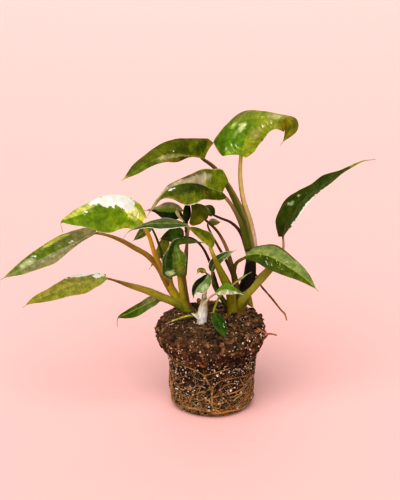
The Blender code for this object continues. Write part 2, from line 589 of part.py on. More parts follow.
def laid_root(name, radius, path):
    """A root through (degrees, height) points that keeps to the ball's side."""
    length = curve_length([(d * 0.74, h, 0.0) for d, h in path])
    shares = np.linspace(0, 1, max(4, int(length / 8) + 1))
    line = curve_points([(d, h, 0.0) for d, h in path], shares)
    points = [on_ball(d, max(h, radius + 0.5), radius) for d, h, _ in line]
    return tube(name, points, ROOT_SIDES, spacing=7.0)


def root_net():
    """Roots bound round the ball: a ring at the foot, and roots that climb from it."""
    draw = random.Random(7)
    ring_path = [(10 * k - 180, 7 + 1.6 * math.sin(0.5 * k) + 1.0 * math.sin(1.3 * k)) for k in range(36)]
    ring_path.append((ring_path[0][0] + 352, ring_path[0][1]))
    ring = laid_root("ring", 1.1, ring_path)
    roots = [laid_root("side_%d" % k, radius, path) for k, (radius, path) in enumerate(SIDE_ROOTS)]
    climbs = [-170, -146, -122, -98, -66, -48, 52, 74, 96, 121, 147, 169]
    for k, start in enumerate(climbs):
        path = [(start, 5.5)]
        lean = draw.uniform(-9, 9)
        for height in (16, 27, 38, 48):
            path.append((path[-1][0] + lean + draw.uniform(-6, 6), height + draw.uniform(-3, 3)))
        roots.append(laid_root("climb_%d" % k, draw.uniform(0.7, 1.0), path[:draw.choice((3, 4, 5))]))
    upper_path = [(14 * k + 70, 21 + 4 * math.sin(0.9 * k)) for k in range(16)]
    roots.append(laid_root("upper", 0.8, upper_path))
    return combined("root_net", ring, roots, "UNION", (0.36, 0.17, 0.05, 0.6))


def build():
    for old in list(bpy.data.objects):
        bpy.data.objects.remove(old)
    crowns = (LEFT_CROWN, RIGHT_CROWN, CENTRE_SHOOT)
    leaves = {leaf.name: leaf for leaf in LEAVES}
    soil_ball(crowns)
    root_net()
    shoot("stem_left", LEFT_CROWN, LEFT_STEMS, leaves, (0.20, 0.17, 0.03, 0.45))
    shoot("stem_right", RIGHT_CROWN, RIGHT_STEMS, leaves, (0.13, 0.13, 0.03, 0.45))
    shoot("shoot_centre", CENTRE_SHOOT, CENTRE_STEMS, leaves, CREAM, [SHEATH_FLAP])
    for name, line in (("aerial_root", AERIAL_ROOT), ("lip_root", LIP_ROOT)):
        dress(tube(name, line, 6, spacing=5.0), (0.16, 0.07, 0.03, 0.6))
    for leaf in LEAVES:
        blade(leaf)


build()
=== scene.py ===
"""The dressed scene of a variegated philodendron that stands on its bare root ball.

Leaves, stems, soil and roots are built again at full detail from the sizes of the solids. Sizes are in
millimetres and scaled to metres when a mesh is made. The tones of blades, stems, soil and roots are in
thousandths of linear red, green and blue. -Y faces the viewer and +Z is up.
"""
import math
import random

import bpy
import numpy as np
from mathutils import Matrix, Vector, noise


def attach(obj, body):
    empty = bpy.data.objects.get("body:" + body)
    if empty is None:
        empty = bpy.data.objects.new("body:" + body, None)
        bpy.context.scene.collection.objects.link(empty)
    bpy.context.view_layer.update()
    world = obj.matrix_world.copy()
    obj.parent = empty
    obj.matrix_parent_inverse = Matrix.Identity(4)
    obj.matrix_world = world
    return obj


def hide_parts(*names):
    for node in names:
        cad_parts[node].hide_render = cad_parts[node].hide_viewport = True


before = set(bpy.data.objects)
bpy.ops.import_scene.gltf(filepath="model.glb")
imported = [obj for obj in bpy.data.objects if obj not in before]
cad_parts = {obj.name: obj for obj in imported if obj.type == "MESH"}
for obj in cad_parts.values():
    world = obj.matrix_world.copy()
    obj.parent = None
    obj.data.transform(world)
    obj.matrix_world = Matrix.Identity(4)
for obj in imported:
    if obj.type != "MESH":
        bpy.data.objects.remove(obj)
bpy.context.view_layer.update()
MM = 0.001

# Sizes shared with the solids
BALL_LIP_RADIUS = 52.5
BALL_WAIST_RADIUS = 42.8
BALL_FOOT_RADIUS = 41.0
BALL_TOP = 89.0
RIM_HEIGHT = 88
WAIST_TOP = 55

# Where the shoots stand in the soil: x, y, radius
LEFT_CROWN = (-25.0, 23.5, 9.5)
RIGHT_CROWN = (24.5, 18.0, 12.0)
CENTRE_SHOOT = (-10.0, -10.0, 5.4)

# Fineness and relief of the blades. Places on a blade's map are in decimetres
COLUMNS = (0, 0.03, 0.07, 0.13, 0.21, 0.3, 0.39, 0.48, 0.57, 0.66, 0.74, 0.82, 0.89, 0.945, 0.975, 1.0)
ROW_STEP = 1.1
LEAST_HALF_WIDTH = 0.22
VEIN_SPACING = 5.8
VEIN_SLANT = 0.35
QUILT_DEPTH = 0.09
GROOVE_DEPTH = 0.3
RIB_DEPTH = 0.75
BLADE_DEPTH = 0.42
MAP_UNIT = 100

# Fineness and relief of the soil
SOIL_SEGMENTS = 300
WALL_RELIEF = 0.9
LIP_RELIEF = 1.5
LUMP_FORMS = 9

# Stage, in metres and degrees
CAMERA_PLACE = (-0.012, -1.364, 0.675)
CAMERA_PITCH = 20.6
LENS = 108.0
SENSOR = 36.0
FAR_CLIP = 200.0
FLOOR_REACH = 60
FLOOR_COLOUR = (0.97, 0.537, 0.5, 1.0)
STUDIO_COLOUR = (0.95, 1.0, 0.98, 1.0)
STUDIO_STRENGTH = 0.38
KEY_PLACE, KEY_STRENGTH, KEY_ANGLE = (-0.5, -1.5, 1.9), 2.5, 70.0
BACK_PLACE, BACK_POWER, BACK_SIZE = (0.0, 3.2, 2.2), 22.0, 3.0

# Tones
# SHADE_BLACK is painted shade: near black for blade parts that lie in shadow.
SHADE_BLACK = (10, 18, 4)
DEEP = (30, 45, 2)
DARK = (38, 62, 3)
GREEN = (65, 120, 4)
LEAF = (100, 190, 4)
LIME = (290, 330, 20)
ACID = (500, 490, 70)
OLIVE = (190, 190, 20)
MOSS = (90, 105, 4)
SAGE = (115, 145, 5)
GREY_GREEN = (170, 200, 60)
MAUVE = (270, 210, 100)
CREAM = (660, 570, 400)
WHITE = (860, 820, 740)
BRONZE = (150, 135, 4)
TAN = (420, 320, 90)
AMBER = (450, 240, 20)
BROWN = (160, 85, 15)
UMBER = (50, 30, 10)
PINK = (480, 240, 130)
RUSTS = [(320, 160, 40), (360, 200, 65), (250, 115, 30), (380, 170, 35)]
STRAWS = [(420, 270, 110), (320, 200, 70), (500, 360, 190)]
FIBRES = [*STRAWS, (60, 30, 12), (100, 50, 20)]
ORANGE = (550, 220, 40)
SOIL_TONES = (28, 16, 10), (120, 58, 26)
CRUMB_TONES = (35, 18, 9), (300, 165, 85)
CLOD_TONES = (40, 20, 10), (200, 100, 45)
BARK_TONES = (190, 100, 40), (40, 20, 10)
PERLITE_TONES = (840, 740, 620), (400, 290, 190)
HANGING_TONES = (130, 70, 30), (160, 85, 30), (200, 100, 30), (450, 200, 60)
LIP_ROOT_TONES = (420, 130, 50), (500, 160, 70), (360, 120, 50)


class Leaf:
    """A blade: midrib points, the way its upper face looks, and the half widths from base to tip."""

    def __init__(self, name, spine, face, left, right, folds=(10, 10), left_fold=None,
                 right_fold=None, curl=25, lobe=(0, 0), blunt=0.01, drip=0.05, wave=0.0):
        self.name = name
        self.spine = spine
        self.face = np.array(face, float)
        self.widths = {-1: left, 1: right}
        self.folds = {-1: left_fold or folds, 1: right_fold or folds}
        self.curl = curl
        self.lobe = {-1: lobe[0], 1: lobe[1]}
        self.blunt = blunt
        self.drip = drip
        self.wave = wave


# The blades, each with its name, midrib, facing, and half widths of the left and the right side
LEAVES = [
    Leaf("leaf_top_left", [(-7, 28, 247), (-21, 24, 251), (-38, 18, 254), (-52, 11, 253), (-69, 3, 245),
         (-87, -3, 234)], (0, -0.2, 1), (1, 2, 8, 7, 5, 4), (22, 18, 15.5, 11, 8.5, 6.5),
         left_fold=(-25, -40, -20, -10), right_fold=(52, 50, 40, 20), curl=15, lobe=(0, 8), blunt=0.05,
         drip=0.02),
    Leaf("leaf_top_right", [(27, 24, 251), (30, 27, 260), (33, 30, 269), (38, 32, 276.5), (47, 31, 283),
         (57, 27, 287.5), (66, 22, 288.5), (73, 16, 287.5), (75, 12, 283), (71, 9, 276), (64, 8, 265)],
         (-0.1, -0.85, 0.5), (30, 31, 27, 22.5, 14, 9, 7.5, 7.5, 5),
         (10, 12.5, 15.5, 17, 15.5, 12.5, 11, 12, 12, 7), left_fold=(5, 0, -15, -35, -55, -50, -30, -20),
         right_fold=(5, 10, 18, 20, 15, 5, -5), lobe=(6, 1), blunt=0.02),
    Leaf("leaf_two_tone", [(10, 2, 221), (-1, 0, 225), (-13, -3, 231), (-26, -7, 233), (-40, -11, 230),
         (-50, -15, 222), (-58, -18, 211), (-63, -19, 202)], (0, -0.35, 0.95),
         (12, 15, 20, 25, 23, 16, 4, 2), (20, 21, 16.5, 9, 5.5, 4, 2, 1.5), left_fold=(5, 5, -12, -35, -20),
         right_fold=(62, 52, 20, 5, 0), lobe=(4, 2.5), blunt=0.025, drip=0.03),
    Leaf("leaf_white_patch", [(-67, -12, 196), (-81, -14, 205), (-97, -17, 209), (-116, -20, 208),
         (-133, -24, 204), (-143, -27, 201), (-143, -28, 195), (-142, -28, 190)], (0, -0.6, 0.8),
         (11, 17.5, 24, 21, 11), (14, 19.5, 17.5, 13, 7), folds=(12, 10, 8), lobe=(3, 3), drip=0.1,
         wave=1.2),
    Leaf("leaf_far_left", [(-113, 6, 179), (-129, 0, 172), (-152, -8, 163), (-177, -18, 153),
         (-196, -26, 146), (-204, -28, 142)], (0, -0.35, 0.95), (3, 3, 8, 13.5, 10.5, 7),
         (9, 16, 19, 17, 14, 8), folds=(14, 12, 10), lobe=(3, 3), drip=0.04),
    Leaf("leaf_low_left", [(-104, -4, 136), (-121, -10, 134), (-138, -18, 132), (-157, -27, 127),
         (-173, -35, 123), (-182, -39, 118)], (0, -0.45, 0.9), (5, 10.5, 14, 11.5, 9, 5.5),
         (8, 10.5, 13, 10.5, 8, 5.5), folds=(8, 8), lobe=(2, 2), drip=0.04),
    Leaf("leaf_small_left", [(-53, 22, 102), (-63, 24, 97), (-74, 26, 90), (-86, 28, 83), (-95, 29, 78),
         (-96, 29, 68)], (0, -0.5, 0.85), (5, 7, 8.5, 8.5, 4.5), (5, 7.5, 6.5, 5.5, 4), lobe=(2, 2),
         drip=0.14),
    Leaf("leaf_pale_margin", [(-24, -10, 192), (-39, -17, 196), (-58, -24, 198), (-71, -28, 196),
         (-80, -30, 192), (-86, -31, 184)], (0, -0.15, 1), (4, 7, 10.5, 11.5, 6, 3),
         (5, 9.5, 11, 7.5, 3.5, 2), left_fold=(8, 8), right_fold=(14, 14), drip=0.1),
    Leaf("leaf_olive", [(0, -14, 170), (-5, -14.5, 178), (-14, -16.5, 186), (-25, -20, 194)],
         (0.45, -0.55, 0.7), (3, 5.5, 5.5, 3.5), (7, 10, 7, 4.5), folds=(14, 14), drip=0.04),
    Leaf("leaf_far_right", [(68.5, 20, 168.5), (71, 19, 182), (80, 18, 198), (90, 17, 211), (103, 18, 222),
         (118, 20, 231), (133, 23, 239), (146, 25, 245), (158, 27, 246)], (-0.45, -0.75, 0.45),
         (10, 14, 16, 11.5, 7, 7.5, 3, 1.5), (4, 14, 19, 16, 11, 8, 3, 1.5), left_fold=(2, 2, 5),
         right_fold=(50, 50, 40), lobe=(2, 2)),
    Leaf("leaf_right", [(33, 2, 156), (44, -2, 159), (58, -6, 157), (73, -10, 149), (88, -15, 140),
         (103, -20, 127)], (0, -0.45, 0.9), (7, 13, 18, 15, 12, 7.5), (5, 10.5, 15.5, 13, 9.5, 5),
         left_fold=(10, 10), right_fold=(8, 8), lobe=(2, 2), drip=0.04),
    Leaf("leaf_centre", [(-34, -3, 137), (-36, -6, 153), (-37, -7, 166), (-34, -4, 172), (-24, 2, 171),
         (-12, 6, 168), (-5, 8, 166), (1, 9, 163)], (0, -1, 0.2), (15, 14.5, 12, 6, 3.5, 3, 1),
         (8, 9.5, 11, 6, 3.5, 3, 1), folds=(4, 4), lobe=(4, 1), blunt=0.03, drip=0.08),
    Leaf("leaf_dark_behind", [(-28, 11, 172), (-34, 11, 174), (-42, 10, 173), (-52, 9, 170)], (0, -0.9, 0.4),
         (4, 8, 7, 4), (4, 8, 7, 4), folds=(5, 5), drip=0.04),
    Leaf("leaf_mid_back", [(-30, 13, 197), (-39, 13, 200), (-49, 11, 200), (-58, 9, 201), (-68, 7, 200)],
         (0, -0.55, 0.8), (9, 12, 11, 4), (5, 9, 8, 3), folds=(5, 5), lobe=(2, 2), drip=0.1),
    Leaf("leaf_mid_right", [(-7, 10, 190), (-11, 8, 198), (-16, 6, 204), (-22, 4, 209)], (0.2, -0.9, 0.4),
         (13, 15.5, 12.5, 6), (5, 7, 7, 4), folds=(5, 5), lobe=(1, 1)),
    Leaf("leaf_dark_centre", [(-24, 14, 205), (-24.5, 10, 199), (-25, 7, 192), (-26, 6, 186)],
         (0.1, -1, 0.1), (2, 3.5, 4, 3), (2, 3.5, 4, 3)),
    Leaf("leaf_small_dark", [(0, 26, 190), (-3, 28, 195), (-8, 30, 198)], (0, -0.7, 0.7), (3, 5, 4),
         (3, 5, 4), folds=(5, 5), lobe=(2, 2)),
    Leaf("leaf_small_olive", [(-3, 30, 181), (3, 32, 180), (9, 34, 179)], (0, -0.7, 0.7), (2, 4, 3),
         (2, 4, 3), folds=(5, 5)),
    Leaf("leaf_striped", [(-1, 2, 139), (2, 2, 147), (10, 2, 154.5), (17, 2, 158.5), (24, 2, 162)],
         (-0.4, -0.7, 0.6), (4, 6, 5, 3), (3, 5, 5, 3), folds=(20, 20)),
    Leaf("leaf_curled", [(-4, -24, 146), (-8, -27, 141), (-15, -30, 134), (-19, -31, 123)], (0.3, -0.9, 0.4),
         (4, 8, 9, 6), (2.5, 5, 6, 4), folds=(16, 16)),
    Leaf("leaf_low_centre", [(3, -26, 128), (12, -28, 133), (23, -29, 131), (34, -29, 126)], (0, -0.3, 1),
         (3, 9, 7, 3), (3, 8, 7, 3), folds=(8, 8)),
    Leaf("leaf_on_soil", [(1, -26, 107), (5, -33, 102), (9, -41, 96), (12.5, -48, 89)], (0.2, -0.75, 0.65),
         (3, 5.5, 6.5, 5), (3, 5, 5.5, 4), lobe=(1, 1), drip=0.04),
    Leaf("leaf_hanging_back", [(-45, 30, 165), (-49, 29, 154), (-56, 27, 143), (-63, 26, 131)],
         (-0.3, -0.8, 0.5), (3, 6, 5, 3), (3, 6, 5, 3), folds=(8, 8), drip=0.1),
    Leaf("leaf_tip_back", [(-59, 14, 181), (-66, 12, 178), (-72, 10, 173), (-78, 9, 168)], (0, -0.6, 0.8),
         (2, 5, 5, 3), (2, 5, 5, 3), folds=(8, 8)),
    Leaf("leaf_cream_tip", [(-35, 1, 203), (-33, -2, 199), (-30, -5, 196), (-27, -6, 194)], (0.3, -0.8, 0.5),
         (1.6, 1.8, 1.5, 1.2), (1.6, 1.8, 1.5, 1.2), folds=(25, 25)),
    Leaf("leaf_back_right", [(36, 27, 105), (37, 31, 97), (40, 34, 90), (43, 37, 85)], (0.3, -0.9, 0.3),
         (2, 3.5, 3.5, 2), (2, 3.5, 3.5, 2), folds=(15, 15)),
    Leaf("leaf_brown_curl", [(-6, -14, 145), (-9, -14, 147), (-13, -15, 147), (-15, -16, 143)],
         (0, -0.5, 0.85), (2, 3.5, 3.5, 2), (2, 3.5, 3.5, 2), folds=(-10, -10)),
    Leaf("leaf_needle", [(21, -6, 130), (27, -8, 135), (33, -9, 140), (38, -9, 143)], (0, -0.7, 0.7),
         (0.8, 1.2, 1.2, 0.8), (0.8, 1.2, 1.2, 0.8), folds=(20, 20), drip=0.1),
    Leaf("leaf_grass", [(-19, -12, 99), (-27, -14, 98), (-35, -16, 96), (-44, -18, 93)], (0, -0.4, 0.9),
         (0.8, 1.1, 1, 0.8), (0.8, 1.1, 1, 0.8), folds=(20, 20), drip=0.1),
]

# A pale pointed flap that is part of the centre shoot's sheath
SHEATH_FLAP = Leaf("sheath_flap", [(-10, -13, 95), (-15, -16, 99), (-21, -17, 103)], (-0.2, -0.8, 0.5),
                   (2.5, 2.5, 1.3), (2.5, 2.5, 1.3), folds=(15, 15))

# The tubes of each shoot: the leaf it carries or None, its tones, and its points as x, y, z, radius
LEFT_STEMS = [
    (None, (BROWN, (280, 230, 12), (400, 340, 12), (420, 340, 20), AMBER), [(-25, 24, 86, 6),
     (-28, 23, 95, 5.2), (-36, 22, 105, 4.6), (-41, 21, 114, 4.3), (-43, 20, 122, 3.6)]),
    ("leaf_low_left", ((120, 140, 5), (300, 300, 20), (330, 300, 20), (340, 270, 30), BROWN, (200, 120, 30)),
     [(-27, 23, 89, 4.5), (-34, 20, 97, 4.2), (-49, 16, 106, 4), (-64, 11, 115, 3.6), (-82, 4, 124, 2.6),
     (-94, 0, 130, 1.3)]),
    ("leaf_far_left", ((240, 170, 12), (270, 190, 20), (260, 180, 18), (300, 190, 30), (260, 160, 30)),
     [(-41, 21, 112, 3.6), (-46, 20, 122, 3.5), (-53, 17, 138, 3.2), (-64, 13, 152, 2.7),
     (-77, 11, 161, 2.5), (-89, 9, 169, 2.2), (-102, 7, 175, 1.5)]),
    ("leaf_white_patch", (BROWN, (420, 270, 20), (560, 370, 30), (560, 400, 30), (460, 400, 50)),
     [(-43, 20, 119, 3.4), (-49, 15, 136, 2.7), (-56, 5, 156, 2.3), (-61, -7, 179, 2)]),
    ("leaf_centre", ((300, 300, 20), (360, 340, 15), (380, 350, 12), (380, 340, 15)), [(-23, 22, 88, 5),
     (-27, 18, 101, 4.2), (-30, 11, 119, 3.5), (-32, 6, 133, 2.6)]),
    ("leaf_small_left", (OLIVE, GREEN), [(-28, 25, 91, 2.6), (-38, 25, 97, 1.8)]),
    ("leaf_hanging_back", (BROWN, MOSS, GREEN), [(-40, 24, 115, 2), (-43, 30, 134, 1.5),
     (-44, 33, 152, 1.3)]),
    ("leaf_tip_back", (MOSS, GREEN), [(-44, 22, 122, 2), (-48, 20, 142, 1.5), (-53, 18, 163, 1.2)]),
    ("leaf_pale_margin", (BROWN, (260, 170, 30), (240, 180, 50), (200, 160, 60), CREAM), [(-24, 22, 91, 3),
     (-27, 19, 118, 2.2), (-28, 13, 141, 1.8), (-25, 9, 163, 1.5), (-24, 6, 175, 1.3), (-23, -2, 186, 1.2)]),
    ("leaf_mid_back", (MOSS, GREEN), [(-27, 18, 129, 2), (-25, 20, 156, 1.5), (-26, 19, 179, 1.3)]),
    ("leaf_dark_centre", (DARK, DEEP), [(-26, 19.5, 174, 1.3), (-24, 20.5, 192, 1.1), (-24, 20, 202, 1)]),
]
RIGHT_STEMS = [
    (None, ((170, 140, 20), (200, 150, 20), (60, 30, 8), (6, 4, 1), (6, 4, 1), (8, 6, 2), (20, 16, 4)),
     [(28, 21, 86, 6.4), (28, 21, 91, 6.2), (31, 20.5, 105, 6.4), (34, 20, 116, 7.4), (37, 19, 127, 6.4),
     (38, 18, 139, 5.6), (39, 18, 149, 4.8)]),
    ("leaf_top_left", (DARK, (80, 100, 3), (75, 90, 3), (90, 100, 4), (80, 70, 8), UMBER), [(38, 18, 143, 5),
     (37, 18, 160, 4.6), (32, 19, 182, 4.2), (24, 21, 203, 3.6), (14, 23, 222, 2.8), (3, 26, 237, 2)]),
    # The cream-pink tones of leaf_top_right's petiole are a painted highlight on its lit side; its band
    # keeps the left side darker.
    ("leaf_top_right", (PINK, (660, 450, 320), (520, 380, 150), (680, 500, 200), (550, 420, 130), OLIVE),
     [(39, 19, 142, 4.6), (41, 21, 160, 3.6), (37, 23, 183, 2.9), (30, 24, 207, 2.4), (27, 24, 230, 2.1)]),
    ("leaf_two_tone", (MOSS, MOSS, (200, 170, 60), PINK), [(35, 15, 159, 3.4), (28, 11, 185, 2.4),
     (19, 7, 205, 1.9)]),
    ("leaf_small_dark", (BROWN, UMBER, UMBER, UMBER), [(35, 20, 153, 2.6), (28, 22, 172, 1.8),
     (19, 26, 181, 1.4), (8, 29, 185, 1.2)]),
    ("leaf_mid_right", (UMBER, (130, 60, 15), (55, 55, 5), (300, 170, 50), (70, 40, 15), UMBER),
     [(26, 18, 97, 4.6), (23, 15, 122, 3.3), (19, 12, 141, 2.6), (14, 11, 160, 1.8), (6, 11, 176, 1.4),
     (-2, 11, 185, 1.3)]),
    ("leaf_olive", ((400, 340, 20), (220, 220, 5), (190, 200, 3), (200, 220, 3), (240, 220, 6), ACID),
     [(20, 14, 87, 5), (20, 13, 95, 5), (18, 7, 115, 4.8), (13, 1, 129, 4.4), (7, -5, 144, 3.4),
     (2, -10, 158, 2.2)]),
    ("leaf_dark_behind", (UMBER, UMBER, (40, 30, 10), UMBER), [(20, 19, 89, 3), (8, 17, 108, 2.4),
     (2, 15, 128, 1.9), (-3, 14, 146, 1.5), (-10, 15, 160, 1.2), (-19, 16, 168, 1.1)]),
    ("leaf_small_olive", (UMBER, MOSS), [(22, 15, 127, 2), (14, 21, 143, 1.5), (4, 26, 160, 1.2),
     (-4, 31, 175, 1)]),
    ("leaf_far_right", ((280, 260, 15), (320, 310, 20), (320, 290, 25), (240, 200, 20), PINK,
     (500, 300, 160)), [(25, 19, 93, 4.4), (30, 15, 105, 4.7), (42, 17, 118.5, 4.6), (55, 20, 132, 4),
     (66, 20, 145, 2), (70, 20, 156, 1.3)]),
    ("leaf_right", ((60, 70, 4), (100, 90, 10), OLIVE), [(21, 13, 134, 2.6), (24, 8, 146, 1.7)]),
    ("leaf_on_soil", (MOSS, OLIVE, LIME, LIME), [(17, 3, 121, 2.2), (12, -9, 122, 1.3), (6, -16, 118, 1.1),
     (2, -20, 109, 1)]),
    ("leaf_needle", (MOSS, CREAM), [(16, 2, 123, 1.8), (19, -3, 126, 1.1)]),
    ("leaf_striped", (MOSS, GREEN, GREEN, GREY_GREEN), [(21, 14, 93, 3), (12, 11, 104, 2.2),
     (4, 7, 117, 1.8), (0, 4, 129, 1.4)]),
    ("leaf_brown_curl", (MOSS, OLIVE), [(2, 5, 123, 1.6), (1, -2, 130, 1.2), (-2, -9, 138, 1)]),
    ("leaf_back_right", ((300, 280, 30), (320, 310, 40)), [(31, 23, 99, 3), (32, 28, 103, 1.6)]),
]
CENTRE_STEMS = [
    (None, (AMBER, WHITE, WHITE, (400, 360, 200), (160, 200, 50)), [(-10, -10, 84, 4.6), (-10, -10, 95, 5),
     (-9, -11, 105, 4.4), (-8, -12, 115, 3), (-8, -13, 121, 2)]),
    ("leaf_curled", (CREAM, GREY_GREEN, GREY_GREEN), [(-8, -13, 118, 2), (-6, -16, 127, 1.4),
     (-3, -20, 137, 1.1)]),
    ("leaf_low_centre", (CREAM, CREAM, GREY_GREEN), [(-9, -11, 108, 2.6), (-5, -18, 117, 1.3),
     (0, -23, 124, 1)]),
    ("leaf_grass", (LIME, LIME), [(-9, -9, 99, 2), (-14, -10, 100, 1.2)]),
]

# A second tone down one side of some petioles: the way that side faces, then the tone
STEM_BANDS = {
    "leaf_low_left": ((0, 0.2, 1), (440, 280, 80)),
    # On leaf_far_left the band is a painted highlight along the lit top of the petiole.
    "leaf_far_left": ((0, -0.3, 1), (460, 300, 50)),
    "leaf_white_patch": ((0.8, 0, 0.3), (620, 420, 60)),
    "leaf_top_left": ((1, 0, 0.2), (260, 200, 60)),
    "leaf_top_right": ((-1, 0, 0), (320, 240, 50)),
    "leaf_centre": ((1, 0, 0), (200, 100, 20)),
    "leaf_olive": ((-0.9, 0, 0.2), (240, 140, 8)),
    "leaf_far_right": ((-0.4, 0, 1), (300, 270, 40)),
}

# Roots in the air and out of the lip: x, y, z, radius
AERIAL_ROOT = [(43, 22.5, 128, 1), (46, 27, 122, 1), (49, 27, 114, 1), (54, 26, 108, 1), (60, 25, 101, 1),
               (69, 22, 90, 0.9), (73, 21, 86, 0.9), (75, 19, 80, 0.7)]
LIP_ROOT = [(44, -18, 87.4, 1.1), (49, -20, 84.6, 1.1), (54.5, -15, 80, 1), (58, -8, 77, 0.9),
            (64, 0, 72, 0.6)]

# Roots on the ball's side: a radius, then degrees round from the front and heights
SIDE_ROOTS = [
    (0.9, [(-76, 53), (-50, 56), (-35, 54), (-22, 52), (-11, 48), (-7, 42), (1.5, 30.5)]),
    (0.8, [(-13, 47.4), (6, 52), (24, 55)]),
    (0.8, [(2.2, 34.5), (-19, 28), (-28, 22), (-34, 12), (-36, 6)]),
    (0.85, [(-2.6, 31.2), (11, 42), (31, 43), (65, 38)]),
    (0.8, [(-2, 24.5), (18, 26), (38, 28), (70, 36)]),
    (1, [(0.4, 36), (0, 15), (6, 10), (13, 6.5)]),
]

